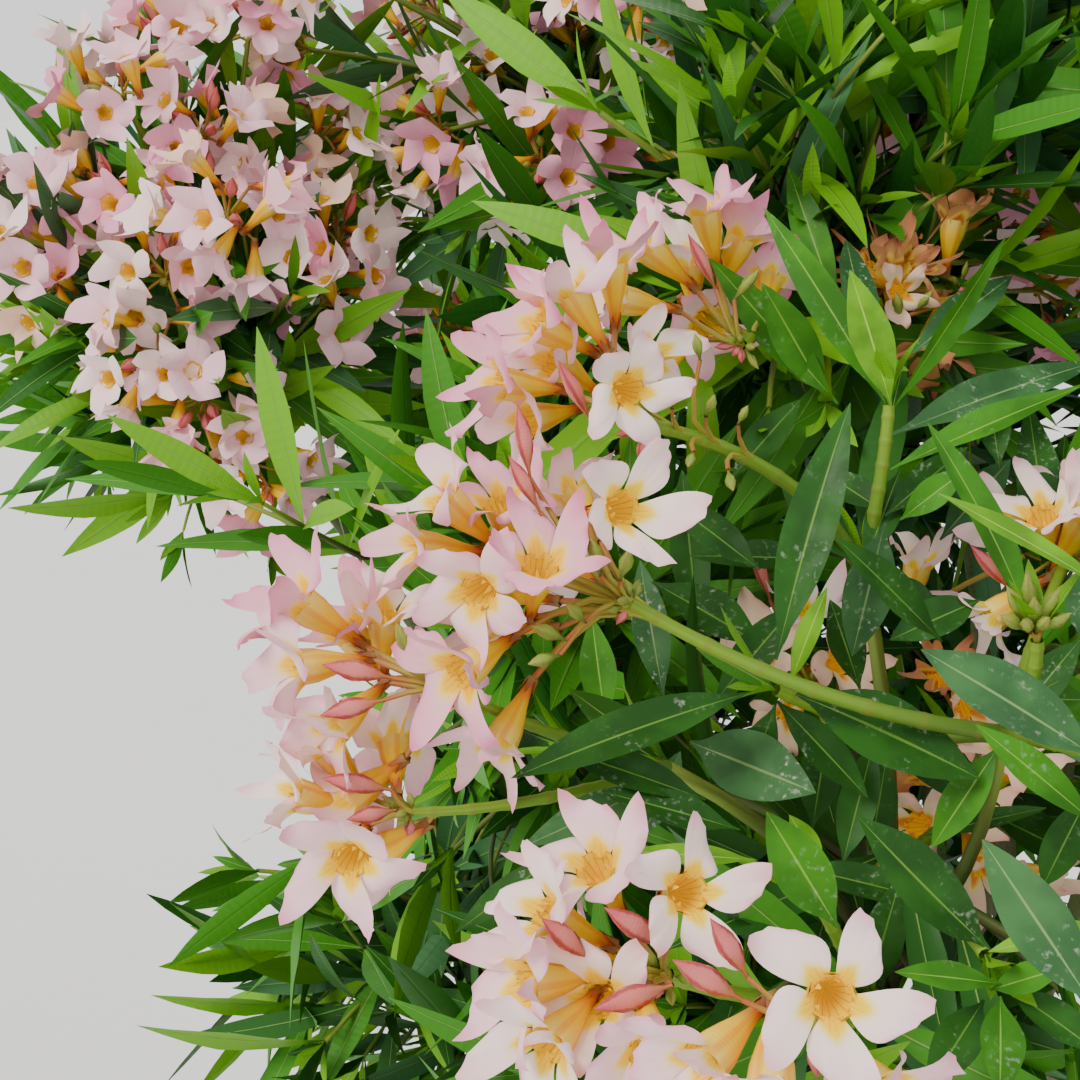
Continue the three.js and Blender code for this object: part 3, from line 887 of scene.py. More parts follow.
@dataclass(frozen=True)
class FlowerForm:
    """The measures of a flower of natural size, in millimetres."""

    petals: int = 5
    throat: float = 5.2
    throat_depth: float = 13.0
    tube: float = 23.0
    tube_foot: float = 1.5
    tube_neck: float = 2.9
    petal: float = 21.0
    petal_foot: float = 2.9
    petal_half: float = 8.9
    petal_end: float = 7.7
    broadest: float = 0.78
    skew: float = 2.4
    slope: float = 0.17
    cream_breadth: float = 0.84
    rise: float = 64 * DEGREE
    cup: float = 6.0
    lap: float = 0.34
    curl: float = 2.6

    def frames(self, flowers: list[Flower]) -> tuple[Array, Array, Array]:
        """The first and second directions across each flower, and the one that it faces."""
        facing = np.array([unit(flower.facing) for flower in flowers])
        flat = np.array([square_to(way) for way in facing])
        other = np.cross(facing, flat)
        spin = np.array([flower.spin for flower in flowers])[:, None]
        first = flat * np.cos(spin) + other * np.sin(spin)
        return first, np.cross(facing, first), facing

    def placed(
        self, flowers: list[Flower], radial: Array, sideways: Reach, rise: Array, angle: Reach
    ) -> Array:
        """Moves points of the flowers' own frames to where the flowers are.

        Args:
            flowers: The flowers.
            radial: How far out from the middle each point is, by row and column.
            sideways: How far round it is.
            rise: How far up from the mouth.
            angle: The way out that radial is measured along.

        Returns:
            The points.
        """
        first, second, facing = (part[:, None, None] for part in self.frames(flowers))
        size = gathered(flowers, "size")[..., None]
        cosine, sine = np.cos(angle), np.sin(angle)
        here = (radial * cosine - sideways * sine)[..., None]
        there = (radial * sine + sideways * cosine)[..., None]
        moved = first * here + second * there + facing * rise[..., None]
        return gathered(flowers, "centre") + moved * size

    def petal_grids(self, flowers: list[Flower], rows: int, columns: int) -> Array:
        """The five petals of each flower: narrow at the throat, cut off aslant, each lapping the next.

        Args:
            flowers: The flowers.
            rows: How many spans a petal has along its length.
            columns: How many it has across.

        Returns:
            One grid for each petal.
        """
        along, across = down(rows), over(columns)
        opened, crumple = gathered(flowers, "open_angle"), gathered(flowers, "crumple")
        random = np.random.default_rng([flower.seed for flower in flowers] + [5])
        breadth = np.where(gathered(flowers, "tone") == Tone.CREAM, self.cream_breadth, 1.0)
        swell = np.sin(np.minimum(along / self.broadest, 1.0) * math.pi / 2) ** 1.4
        narrowing = np.maximum(0.0, (along - self.broadest) / (1 - self.broadest)) ** 2
        half = self.petal_foot + (self.petal_half - self.petal_foot) * swell
        half = half - (self.petal_half - self.petal_end) * narrowing
        grids = []
        for petal in range(self.petals):
            jitter = np.clip(random.normal(size=(8, len(flowers), 1, 1)), -1.8, 1.8)
            slope = self.slope + 0.05 * jitter[4]
            aslant = 0.89 + slope * across - 0.12 * across**2
            nibble = 1 + 0.022 * np.sin(17 * across + 9 * jitter[5]) * along**4
            out = self.petal * along * aslant * nibble * (1 + 0.06 * jitter[0])
            settled = 1 - np.exp(-out / self.cup)
            spread = opened + 0.19 * jitter[1] + crumple * 0.5 * jitter[2]
            radial = self.throat - 0.9 + out * np.cos(spread)
            radial = radial + settled * self.cup * (math.cos(self.rise) - np.cos(spread))
            rise = out * np.sin(spread) + settled * self.cup * (math.sin(self.rise) - np.sin(spread)) - 1.3
            lap = (self.lap + 0.14 * jitter[3]) * along
            narrow = (1 - 0.45 * crumple) * (1 + 0.08 * jitter[6]) * breadth
            width = across * half * narrow
            wave = np.sin(2.6 * across + 4.2 * along + 3 * jitter[2]) * (1.5 + 3.2 * crumple)
            wave = wave + 0.6 * np.sin(7 * across + 9 * jitter[5]) * along
            rise = rise + width * lap + wave * along**2 - self.curl * along**3 * (1 + 0.9 * jitter[4])
            rise = rise + (0.7 + 0.9 * jitter[6]) * across**2 * along * (1 + 2 * crumple)
            rise = rise + 2.4 * jitter[7] * np.maximum(0.0, across) ** 2 * along**3
            sideways = width * np.sqrt(1 - np.minimum(lap, 0.9) ** 2) + self.skew * along**1.6
            radial = radial + crumple * 2.2 * np.sin(3 * across + 5 * along + jitter[0])
            grids.append(self.placed(flowers, radial, sideways, rise, petal * math.tau / self.petals))
        return np.concatenate(grids)

    def ring_grids(self, flowers: list[Flower], profile: Outline, sides: int, lobes: float) -> Array:
        """A turned surface on each flower, with five soft lobes at its mouth.

        Args:
            flowers: The flowers.
            profile: Its radii and heights, from the mouth down.
            sides: How many spans it has round.
            lobes: How deep the lobes are at the mouth.

        Returns:
            One grid for each flower, to be added as closed.
        """
        angle = turns(sides)
        radii, heights = np.array(profile).T[..., None]
        fade = np.linspace(1.0, 0.0, len(profile))[:, None] ** 2
        radial = radii * (1 + lobes * fade * np.cos(self.petals * angle))
        return self.placed(flowers, radial, 0.0, heights, angle)

    def throat_grids(self, flowers: list[Flower], sides: int) -> Array:
        """The inside of the throat, from just under the petals down to the neck of the tube.

        Args:
            flowers: The flowers.
            sides: How many spans it has round.

        Returns:
            One grid for each flower, to be added as closed.
        """
        profile = [
            (self.throat + 0.4, 0.4),
            (self.throat - 0.3, -2.4),
            (self.throat - 1.7, -7.0),
            (self.tube_neck - 1.0, -self.throat_depth),
            (0.05, -self.throat_depth - 2.5),
        ]
        return self.ring_grids(flowers, profile, sides, 0.09)

    def tube_grids(self, flowers: list[Flower], sides: int, stride: int = 1) -> Array:
        """The outside of the throat and the tube under it, in all rows of its outline or one in a stride.

        Args:
            flowers: The flowers.
            sides: How many spans it has round.
            stride: Which rows of the outline are kept: each, or each second.

        Returns:
            One grid for each flower, to be added as closed.
        """
        profile = [
            (self.throat + 0.6, 0.4),
            (self.throat + 0.4, -1.4),
            (self.throat + 0.1, -5.0),
            (self.throat - 1.2, -10.0),
            (self.tube_neck - 0.2, -self.throat_depth - 1.5),
            (self.tube_foot + 0.4, -18.0),
            (self.tube_foot, -self.tube),
        ]
        return self.ring_grids(flowers, profile[::stride], sides, 0.07)

    def crown_grids(self, flowers: list[Flower]) -> Array:
        """The fringed teeth that stand round the throat, two to a petal."""
        along, across = down(2), over(1)
        grids = []
        for tooth in range(2 * self.petals):
            splay = (tooth * 7 % 5 - 2) * 0.3
            radial = self.throat - 1.0 - (0.3 - splay) * along
            sideways = across * (0.8 - 0.65 * along) + splay * along
            rise = (2.3 + (tooth % 3) * 0.7) * along - 0.9
            angle = (tooth + 0.5) * math.pi / self.petals
            grids.append(self.placed(flowers, radial, sideways, rise, angle))
        return np.concatenate(grids)

    def sepal_grids(self, flowers: list[Flower]) -> Array:
        """The five narrow sepals round the foot of the tube."""
        along, across = down(2), over(1)
        radial = self.tube_foot + 0.4 + 1.3 * along**1.5 - 0.3 * np.abs(across)
        sideways = across * (1.45 * (1 - along) + 0.12)
        rise = 6.4 * along - self.tube - 1.2
        angles = [(sepal + 0.3) * math.tau / self.petals for sepal in range(self.petals)]
        return np.concatenate([self.placed(flowers, radial, sideways, rise, angle) for angle in angles])

    def foot(self, flower: Flower) -> Array:
        """Where a flower's tube ends and its stalk begins."""
        return flower.centre - unit(flower.facing) * self.tube * flower.size


@dataclass
class Bud:
    """One bud: its foot, the way it points and its size in millimetres."""

    foot: Array
    way: Array
    length: float
    radius: float
    green: bool = False


def bud_grids(buds: list[Bud], rows: int, sides: int) -> Array:
    """Buds, as rolled spindles with a twist.

    Args:
        buds: The buds.
        rows: How many spans each has along its length.
        sides: How many it has round.

    Returns:
        Their grids, to be added as closed.
    """
    along, turn = down(rows), turns(sides)
    way = unit(gathered(buds, "way"))
    first = np.array([square_to(unit(bud.way)) for bud in buds])[:, None, None]
    second = np.cross(way, first)
    swell = np.maximum(0.16 * (1 - along), np.sin(math.pi * along**1.12) ** 1.25) * 0.92 + 0.02
    ridge = 1 + 0.09 * np.sin(3 * turn + 7 * along)
    radius = gathered(buds, "radius") * swell * ridge
    angle = turn + 2.2 * along
    round_it = first * np.cos(angle)[..., None] + second * np.sin(angle)[..., None]
    forward = way * (gathered(buds, "length") * along)[..., None]
    return gathered(buds, "foot") + forward + round_it * radius[..., None]


# The near side of the crown, set out by sighting


@dataclass(frozen=True)
class SightedLeaf:
    """A leaf that is set out by where its foot and its tip show."""

    foot: Place
    tip: Place
    width: float
    facing: Spot
    tint: Tint
    droop: float = 0.05
    sway: float = 0.0
    fold: float = 0.34
    ripple: float = 0.07

    def leaf(self, number: int) -> Leaf:
        """The leaf that reaches from the foot to the tip, with a ripple of its own.

        Args:
            number: The leaf's place in the list, which sets its ripple.

        Returns:
            The leaf.
        """
        base = SIGHT.point(self.foot)
        chord = SIGHT.point(self.tip) - base
        face = SIGHT.facing(*self.facing)
        side = unit(np.cross(chord, face))
        length = float(np.linalg.norm(chord))
        way = chord + face * self.droop * length - side * self.sway * length
        size = float(np.linalg.norm(way))
        shape = (self.droop, self.sway, self.fold, self.ripple, number * 1.7)
        return Leaf(base, way / size, face, size, self.width, *shape)


@dataclass(frozen=True)
class SightedFlower:
    """A flower that is set out by where it shows and which way it faces."""

    tone: Tone
    place: Place
    facing: Spot
    open_degrees: float = 30
    size: float = 1.0
    spin: float = 0.0

    def flower(self, number: int) -> Flower:
        """The flower, with a crumple that goes with its tone.

        Args:
            number: The flower's number, which sets how its petals lie.

        Returns:
            The flower.
        """
        crumple = {Tone.WITHERED: 1.0, Tone.FADED: 0.45}.get(self.tone, 0.05)
        return Flower(
            SIGHT.point(self.place),
            SIGHT.facing(*self.facing),
            self.tone,
            self.size,
            self.spin,
            self.open_degrees * DEGREE,
            crumple,
            number,
        )


@dataclass(frozen=True)
class SightedBud:
    """A bud that is set out by where its foot shows and which way it points."""

    green: bool
    foot: Place
    facing: Spot
    length: float = 23.0
    radius: float = 2.7
    share: float = 1.0

    def bud(self) -> Bud:
        """The bud at its place."""
        return Bud(SIGHT.point(self.foot), SIGHT.facing(*self.facing), self.length, self.radius, self.green)


@dataclass(frozen=True)
class SightedHead:
    """The flowers and buds of one near head, which is on the near shoot of that number."""

    shoot: int
    flowers: list[SightedFlower]
    buds: list[SightedBud]


SIGHTED_BLOSSOM = (
    (0, "pink", (705, 212, 650), (-0.2, 0.75, 0.3), 40),
    (0, "pale", (648, 248, 640), (-0.65, 0.5, 0.25), 38),
    (0, "pink", (742, 238, 660), (0.35, 0.8, 0.25), 48),
    (0, "pale", (706, 322, 668), (0.2, -0.3, 0.5), 30),
    (0, "pale", (622, 300, 632), (-0.8, 0.1, 0.3), 42, 0.95),
    (0, "cream", (690, 262, 672), (-0.1, 0.7, 0.4), 40),
    (0, "pink_bud", (716, 290, 640), (-0.4, 0.7, 0.3)),
    (0, "green_bud", (734, 300, 636), (0.5, 0.6, 0.2), 14, 2.4),
    (1, "cream", (628, 390, 556), (0.3, -0.12, 0.92), 26, 0.95, 0.35),
    (1, "pale", (572, 292, 588), (-0.4, 0.62, 0.25), 42),
    (1, "pink", (540, 326, 592), (-0.7, 0.3, 0.35), 36),
    (1, "pink", (502, 384, 586), (-0.85, 0.05, 0.4), 40),
    (1, "pale", (556, 362, 606), (-0.5, 0.3, 0.5), 30),
    (1, "pink", (612, 262, 606), (-0.05, 0.8, 0.3), 46),
    (1, "pale", (530, 420, 600), (-0.7, -0.2, 0.5), 34, 0.95),
    (1, "pink_bud", (590, 420, 566), (-0.4, 0.7, 0.4)),
    (1, "green_bud", (672, 408, 562), (0.2, 0.8, 0.5), 9, 1.9, 0.86),
    (1, "green_bud", (694, 452, 560), (-0.3, -0.6, 0.7), 8, 1.8, 0.8),
    (1, "green_bud", (706, 416, 562), (0.3, 0.8, 0.5), 8, 1.8, 0.72),
    (1, "green_bud", (728, 470, 562), (0.1, -0.7, 0.6), 9, 1.9, 0.64),
    (1, "green_bud", (738, 424, 566), (0.4, 0.8, 0.4), 7, 1.6, 0.58),
    (1, "green_bud", (700, 360, 566), (-0.2, 0.8, 0.4), 9, 1.9, 0.78),
    (2, "cream", (622, 508, 528), (0.42, 0.05, 0.86), 28, 1.0, 0.2),
    (2, "pale", (446, 500, 552), (-0.6, 0.55, 0.3), 38, 1.0, 0.5),
    (2, "pink", (540, 566, 532), (0.1, 0.55, 0.55), 34, 1.0, 0.9),
    (2, "pale", (478, 592, 536), (-0.3, -0.25, 0.7), 24, 1.0, 0.1),
    (2, "pink", (462, 672, 532), (-0.55, -0.35, 0.6), 26, 1.05, 0.7),
    (2, "pale", (500, 742, 548), (-0.4, -0.75, 0.35), 36, 0.95),
    (2, "pale", (420, 548, 556), (-0.85, 0.05, 0.35), 44, 0.95, 1.0),
    (2, "pink", (500, 505, 560), (-0.15, 0.6, 0.45), 40, 0.95),
    (2, "pink_bud", (530, 478, 548), (-0.15, 0.9, 0.2), 23, 2.9),
    (2, "pink_bud", (540, 512, 545), (-0.45, 0.8, 0.2), 20, 2.6),
    (2, "green_bud", (566, 640, 538), (-0.7, 0.3, 0.4), 13, 2.6),
    (2, "green_bud", (560, 655, 536), (-0.8, -0.2, 0.4), 11, 2.4),
    (2, "green_bud", (585, 622, 534), (-0.5, 0.5, 0.5), 10, 2.2),
    (2, "green_bud", (620, 580, 536), (0.2, 0.7, 0.5), 12, 2.4),
    (2, "green_bud", (600, 575, 536), (-0.2, 0.8, 0.4), 13, 2.6),
    (3, "pink", (302, 604, 560), (-0.7, 0.5, 0.3), 40, 1.05, 0.4),
    (3, "pale", (300, 668, 548), (-0.85, -0.1, 0.4), 36, 1.0),
    (3, "cream", (384, 618, 572), (0.05, 0.8, 0.4), 44, 0.95),
    (3, "pale", (335, 728, 545), (-0.6, -0.55, 0.4), 34, 0.95),
    (3, "pink", (350, 632, 580), (-0.4, 0.6, 0.4), 36),
    (3, "pink_bud", (392, 678, 544), (-0.9, 0.2, 0.3), 22, 3.5),
    (3, "pink_bud", (384, 700, 540), (-0.9, -0.2, 0.3), 20, 3.3),
    (3, "green_bud", (412, 660, 544), (-0.3, 0.8, 0.4), 14, 2.6),
    (4, "pale", (350, 860, 530), (-0.12, -0.28, 0.95), 22, 1.0, 0.3),
    (4, "cream", (296, 796, 550), (-0.8, 0.25, 0.4), 38, 0.95),
    (4, "cream", (326, 748, 560), (-0.5, 0.65, 0.3), 42, 0.95),
    (4, "pink_bud", (392, 790, 542), (-0.9, 0.2, 0.3), 22, 3.4),
    (4, "pink_bud", (396, 810, 540), (-0.8, -0.1, 0.4), 16, 2.8),
    (5, "cream", (688, 893, 470), (0.22, 0.2, 0.95), 24, 1.0, 0.5),
    (5, "pale", (596, 868, 482), (-0.3, 0.62, 0.6), 34, 1.0),
    (5, "cream", (546, 916, 476), (-0.7, 0.4, 0.4), 38, 1.0),
    (5, "pale", (528, 984, 466), (-0.8, 0.0, 0.45), 38, 1.0, 0.6),
    (5, "cream", (548, 1044, 458), (-0.5, -0.35, 0.65), 28, 1.0),
    (5, "pale", (650, 1052, 448), (0.0, -0.45, 0.8), 30, 1.0),
    (5, "cream", (600, 1000, 470), (-0.3, 0.2, 0.8), 34, 0.95),
    (5, "pink_bud", (668, 948, 468), (-0.7, 0.5, 0.3), 22, 3.4),
    (5, "pink_bud", (672, 985, 462), (-0.9, -0.2, 0.3), 22, 3.5),
    (5, "pink_bud", (590, 960, 470), (-0.6, 0.6, 0.4), 20, 3.2),
    (6, "cream", (832, 998, 404), (-0.05, 0.12, 1.0), 18, 1.0, 0.32),
    (6, "pale", (704, 1062, 418), (-0.6, -0.4, 0.5), 34, 1.0),
    (6, "cream", (772, 1086, 414), (-0.1, -0.6, 0.6), 30, 1.0),
    (6, "pale", (880, 1092, 430), (0.5, -0.4, 0.6), 32, 1.0),
    (6, "pink_bud", (742, 1000, 420), (-0.8, 0.5, 0.2), 20, 3.3),
    (6, "pink_bud", (748, 978, 424), (-0.5, 0.8, 0.2), 18, 3),
    (7, "faded", (764, 650, 662), (-0.4, 0.3, 0.6), 34, 0.95),
    (7, "cream", (806, 614, 668), (0.0, 0.7, 0.5), 44, 0.9),
    (7, "faded", (838, 662, 664), (0.4, 0.2, 0.7), 40, 0.9),
    (7, "faded", (790, 712, 650), (-0.2, -0.5, 0.6), 36, 0.9),
    (7, "pink_bud", (770, 600, 668), (-0.3, 0.8, 0.3)),
    (8, "withered", (942, 676, 640), (-0.2, 0.3, 0.8), 44, 0.85),
    (8, "faded", (968, 706, 634), (0.1, -0.4, 0.8), 40, 0.85),
    (8, "faded", (968, 806, 634), (0.2, 0.4, 0.7), 38, 0.95),
    (8, "faded", (918, 826, 640), (-0.6, 0.1, 0.6), 40, 0.95),
    (8, "faded", (980, 866, 630), (0.1, -0.5, 0.7), 40, 0.9),
    (8, "faded", (1040, 880, 640), (0.6, -0.2, 0.6), 40, 0.9),
    (9, "cream", (1042, 516, 604), (-0.35, 0.6, 0.6), 32, 1.0),
    (9, "cream", (918, 566, 660), (0.1, 0.8, 0.3), 62, 0.9),
    (9, "cream", (1085, 520, 600), (0.3, 0.7, 0.5), 38, 1.0),
    (9, "pink_bud", (1010, 590, 612), (-0.6, 0.6, 0.3)),
    (13, "green_bud", (1031, 624, 520), (-0.1, 1.0, 0.1), 16, 2.5),
    (13, "green_bud", (1028, 626, 518), (-0.5, 0.85, 0.2), 14, 2.4),
    (13, "green_bud", (1038, 626, 518), (0.45, 0.85, 0.2), 14, 2.4),
    (13, "green_bud", (1027, 630, 517), (-0.85, 0.45, 0.3), 10, 2.3),
    (13, "green_bud", (1041, 630, 517), (0.8, 0.5, 0.3), 10, 2.3),
    (13, "green_bud", (1033, 628, 515), (-0.1, 0.8, 0.5), 11, 2.4),
    (13, "green_bud", (1036, 632, 514), (0.25, 0.55, 0.75), 8, 2.2),
    (13, "green_bud", (1030, 632, 514), (-0.4, 0.5, 0.75), 8, 2.2),
    (17, "withered", (892, 262, 690), (0.0, 0.8, 0.4), 60, 0.85),
    (17, "withered", (916, 268, 690), (0.6, 0.4, 0.5), 50, 0.8),
    (17, "withered", (868, 272, 686), (-0.7, 0.3, 0.5), 55, 0.8),
    (17, "faded", (898, 292, 680), (0.1, -0.2, 0.9), 55, 0.7),
    (17, "green_bud", (900, 318, 680), (-0.2, 0.6, 0.5), 12, 2.4),
    (17, "green_bud", (886, 312, 682), (-0.6, 0.5, 0.4), 11, 2.3),
    (17, "green_bud", (914, 312, 682), (0.5, 0.6, 0.4), 11, 2.3),
)


def gathered_heads() -> tuple[SightedHead, ...]:
    """Sorts the rows of the blossom into heads, one to a shoot."""
    heads: dict[int, SightedHead] = {}
    for shoot, kind, place, facing, *shape in SIGHTED_BLOSSOM:
        head = heads.setdefault(shoot, SightedHead(shoot, [], []))
        if kind in ("pink_bud", "green_bud"):
            head.buds.append(SightedBud(kind == "green_bud", Place(*place), facing, *shape))
        else:
            head.flowers.append(SightedFlower(Tone(kind), Place(*place), facing, *shape))
    return tuple(heads.values())


SIGHTED_HEADS = gathered_heads()


def sighted_leaves(*rows: tuple) -> tuple[SightedLeaf, ...]:
    """Makes a leaf of each row: its tint, foot, tip, width, facing, then arch and bend where they count."""
    return tuple(
        SightedLeaf(Place(*foot), Place(*tip), width, facing, Tint(tint), *shape)
        for tint, foot, tip, width, facing, *shape in rows
    )


SIGHTED_LEAVES = sighted_leaves(
    ("mid", (886, 404, 600), (765, 210, 612), 13, (-0.35, 0.1, 0.9), 0.05, -0.05),
    ("young", (891, 406, 597), (852, 276, 590), 14.5, (-0.1, 0.2, 0.95), 0.1),
    ("mid", (893, 408, 600), (1005, 243, 610), 12, (0.75, 0.3, 0.4), 0.05, 0.04),
    ("mid", (890, 470, 602), (1074, 388, 596), 15, (0.1, 0.75, 0.5), 0.06),
    ("dusty", (889, 436, 606), (1095, 362, 650), 17, (0.05, 0.6, 0.75), 0.08),
    ("dark", (885, 516, 606), (966, 448, 616), 12, (0.2, 0.6, 0.7)),
    ("dark", (884, 512, 606), (820, 470, 626), 12, (-0.2, 0.5, 0.8)),
    ("mid", (838, 404, 652), (713, 262, 650), 15, (-0.4, 0.3, 0.85)),
    ("mid", (826, 396, 656), (766, 290, 640), 16, (-0.3, 0.3, 0.9), 0.08),
    ("mid", (838, 312, 670), (788, 166, 690), 14, (-0.3, 0.1, 0.9)),
    ("dusty", (868, 352, 640), (846, 236, 680), 15, (0.2, 0.1, 0.9)),
    ("dusty", (908, 356, 660), (1012, 276, 690), 15, (0.2, 0.5, 0.8)),
    ("dark", (776, 660, 560), (850, 404, 572), 17.5, (-0.25, 0.2, 0.92), 0.05, 0.04),
    ("dark", (942, 642, 560), (841, 541, 540), 14, (0.1, 0.5, 0.85)),
    ("mid", (1030, 622, 540), (931, 428, 540), 14, (0.35, 0.45, 0.8), 0.08, -0.08),
    ("young", (1110, 590, 500), (940, 494, 520), 9, (0.0, 0.75, 0.6), 0.04),
    ("dusty", (885, 522, 585), (852, 656, 590), 17, (-0.1, -0.1, 0.95)),
    ("young", (790, 684, 560), (827, 588, 556), 8, (-0.5, 0.2, 0.8), 0.04),
    ("dark", (752, 692, 556), (512, 778, 536), 16, (0.05, 0.55, 0.8), 0.06, -0.04),
    ("dark", (796, 694, 556), (978, 778, 548), 23, (0.05, 0.35, 0.93), 0.05, 0.04),
    ("dusty", (690, 742, 584), (814, 792, 560), 23, (-0.1, 0.3, 0.95), 0.04),
    ("dark", (652, 582, 640), (762, 646, 625), 20, (0.1, 0.6, 0.75)),
    ("dusty", (1100, 760, 420), (922, 650, 432), 18.5, (0.05, 0.6, 0.8)),
    ("mid", (1098, 826, 500), (978, 726, 506), 11.5, (-0.2, 0.6, 0.75), 0.04),
    ("dusty", (1096, 1010, 400), (984, 842, 410), 15, (-0.3, 0.4, 0.85)),
    ("young", (1110, 925, 420), (986, 952, 430), 8, (0.0, 0.8, 0.5), 0.04),
    ("dark", (990, 950, 506), (862, 820, 502), 18.5, (0.2, 0.35, 0.9), 0.08, 0.08),
    ("mid", (838, 928, 520), (768, 814, 520), 17, (-0.25, 0.25, 0.9)),
    ("young", (756, 860, 530), (628, 851, 528), 7, (0.0, 0.5, 0.8), 0.03),
    ("young", (822, 868, 545), (790, 816, 545), 8, (0.1, 0.2, 0.9), 0.1),
    ("dark", (562, 850, 560), (456, 932, 556), 10, (-0.3, 0.4, 0.8), 0.05, 0.05),
    ("mid", (1002, 984, 490), (896, 972, 486), 9, (0.0, 0.6, 0.7)),
    ("mid", (990, 990, 492), (1062, 968, 480), 9, (0.2, 0.5, 0.8)),
    ("mid", (1000, 996, 488), (1000, 1092, 470), 13, (0.1, 0.2, 0.95), 0.08),
    ("dark", (984, 1000, 498), (930, 1085, 480), 13, (-0.2, 0.3, 0.9), 0.08),
    ("dark", (1010, 990, 498), (1096, 1050, 480), 13, (0.3, 0.4, 0.8), 0.08),
    ("dusty", (936, 886, 580), (888, 862, 576), 10, (-0.1, 0.5, 0.8)),
    ("dark", (924, 836, 590), (1045, 808, 586), 9, (0.0, 0.7, 0.6)),
    ("dark", (1040, 892, 580), (1088, 796, 570), 13, (-0.3, 0.3, 0.9)),
    ("dusty", (642, 838, 640), (680, 752, 640), 13, (-0.1, 0.2, 0.95)),
    ("mid", (606, 724, 650), (592, 618, 655), 14, (-0.2, 0.2, 0.95)),
    ("dark", (700, 640, 650), (682, 470, 665), 15, (-0.2, 0.2, 0.9)),
    ("dusty", (664, 700, 640), (640, 560, 655), 14, (-0.2, 0.2, 0.9)),
    ("dark", (822, 560, 640), (690, 556, 640), 14, (0.0, 0.6, 0.7)),
    ("dark", (980, 600, 600), (890, 640, 590), 15, (0.0, 0.5, 0.8)),
    ("dusty", (940, 540, 650), (1010, 460, 660), 15, (0.1, 0.4, 0.9)),
    ("dusty", (1080, 640, 560), (1096, 560, 560), 14, (-0.3, 0.3, 0.8)),
    ("dark", (812, 830, 600), (830, 720, 610), 15, (-0.2, 0.2, 0.9)),
    ("dark", (870, 850, 590), (886, 760, 610), 13, (0.2, 0.2, 0.9)),
    ("dark", (860, 690, 620), (830, 600, 625), 14, (0.2, 0.3, 0.9)),
    ("dark", (1000, 470, 620), (985, 372, 640), 13, (-0.2, 0.3, 0.9)),
    ("mid", (900, 520, 600), (965, 470, 590), 11, (0.2, 0.5, 0.8)),
    ("dark", (706, 800, 556), (556, 748, 548), 14, (0.0, 0.6, 0.75)),
    ("dusty", (660, 782, 560), (524, 846, 552), 13, (-0.1, 0.5, 0.8), 0.05, 0.05),
    ("dark", (740, 830, 552), (604, 792, 546), 13, (0.0, 0.6, 0.7)),
    ("dark", (760, 570, 600), (668, 500, 612), 14, (-0.1, 0.5, 0.8)),
    ("dark", (800, 600, 600), (716, 700, 590), 14, (-0.2, 0.3, 0.9)),
    ("dark", (900, 470, 620), (866, 560, 600), 12, (-0.1, 0.2, 0.95)),
    ("mid", (1000, 700, 560), (1090, 700, 556), 13, (0.1, 0.5, 0.8)),
    ("dark", (730, 480, 640), (800, 400, 650), 14, (-0.1, 0.5, 0.8)),
    ("dark", (842, 866, 575), (874, 742, 580), 13, (-0.2, 0.3, 0.9)),
    ("dark", (1000, 806, 572), (890, 752, 578), 14, (0.0, 0.6, 0.75)),
    ("dark", (930, 900, 570), (800, 868, 574), 13, (0.0, 0.6, 0.75)),
    ("mid", (1000, 745, 552), (930, 850, 560), 13, (-0.2, 0.4, 0.85), 0.06),
    ("dark", (1008, 728, 552), (1080, 640, 556), 13, (-0.2, 0.4, 0.85), 0.06),
    ("dark", (858, 566, 606), (780, 476, 612), 14, (-0.2, 0.4, 0.85)),
    ("dark", (868, 574, 604), (950, 626, 600), 14, (0.1, 0.5, 0.8)),
    ("mid", (672, 766, 586), (570, 690, 592), 13, (-0.1, 0.5, 0.8)),
    ("dark", (866, 1000, 572), (900, 880, 566), 14, (-0.2, 0.3, 0.9), 0.06),
    ("dark", (776, 700, 572), (870, 800, 566), 13, (-0.2, 0.5, 0.8), 0.06),
    ("dark", (776, 704, 574), (742, 800, 580), 12, (-0.2, 0.3, 0.9), 0.06),
)
LEAVES_BEHIND = sighted_leaves(
    ("dark", (1053, 590, 608), (1028, 402, 648), 17, (-0.1, 0.3, 0.9)),
    ("mid", (1053, 592, 606), (1096, 398, 655), 16, (0.2, 0.4, 0.85)),
    ("dark", (1048, 610, 604), (1066, 430, 672), 18, (0.1, 0.2, 0.95), 0.04),
    ("dark", (974, 806, 642), (1098, 868, 652), 19, (0.1, 0.6, 0.75), 0.04),
    ("dark", (970, 810, 644), (1096, 822, 700), 20, (0.05, 0.7, 0.7), 0.04),
)
FAR_HEADS = tuple(
    Place(*place)
    for place in (
        (170, 52, 930), (248, 40, 930), (125, 100, 900), (310, 50, 960), (205, 140, 900),
        (120, 205, 890), (205, 215, 900), (168, 278, 870), (262, 205, 930), (75, 280, 900),
        (160, 352, 855), (205, 395, 860), (255, 462, 865), (335, 245, 940), (322, 305, 930),
        (318, 140, 960), (440, 15, 1000), (450, 130, 930), (505, 78, 960), (578, 42, 960),
        (545, 165, 900), (618, 140, 930), (880, 150, 860), (1000, 215, 800), (1032, 290, 800),
    )
)


# Finishes


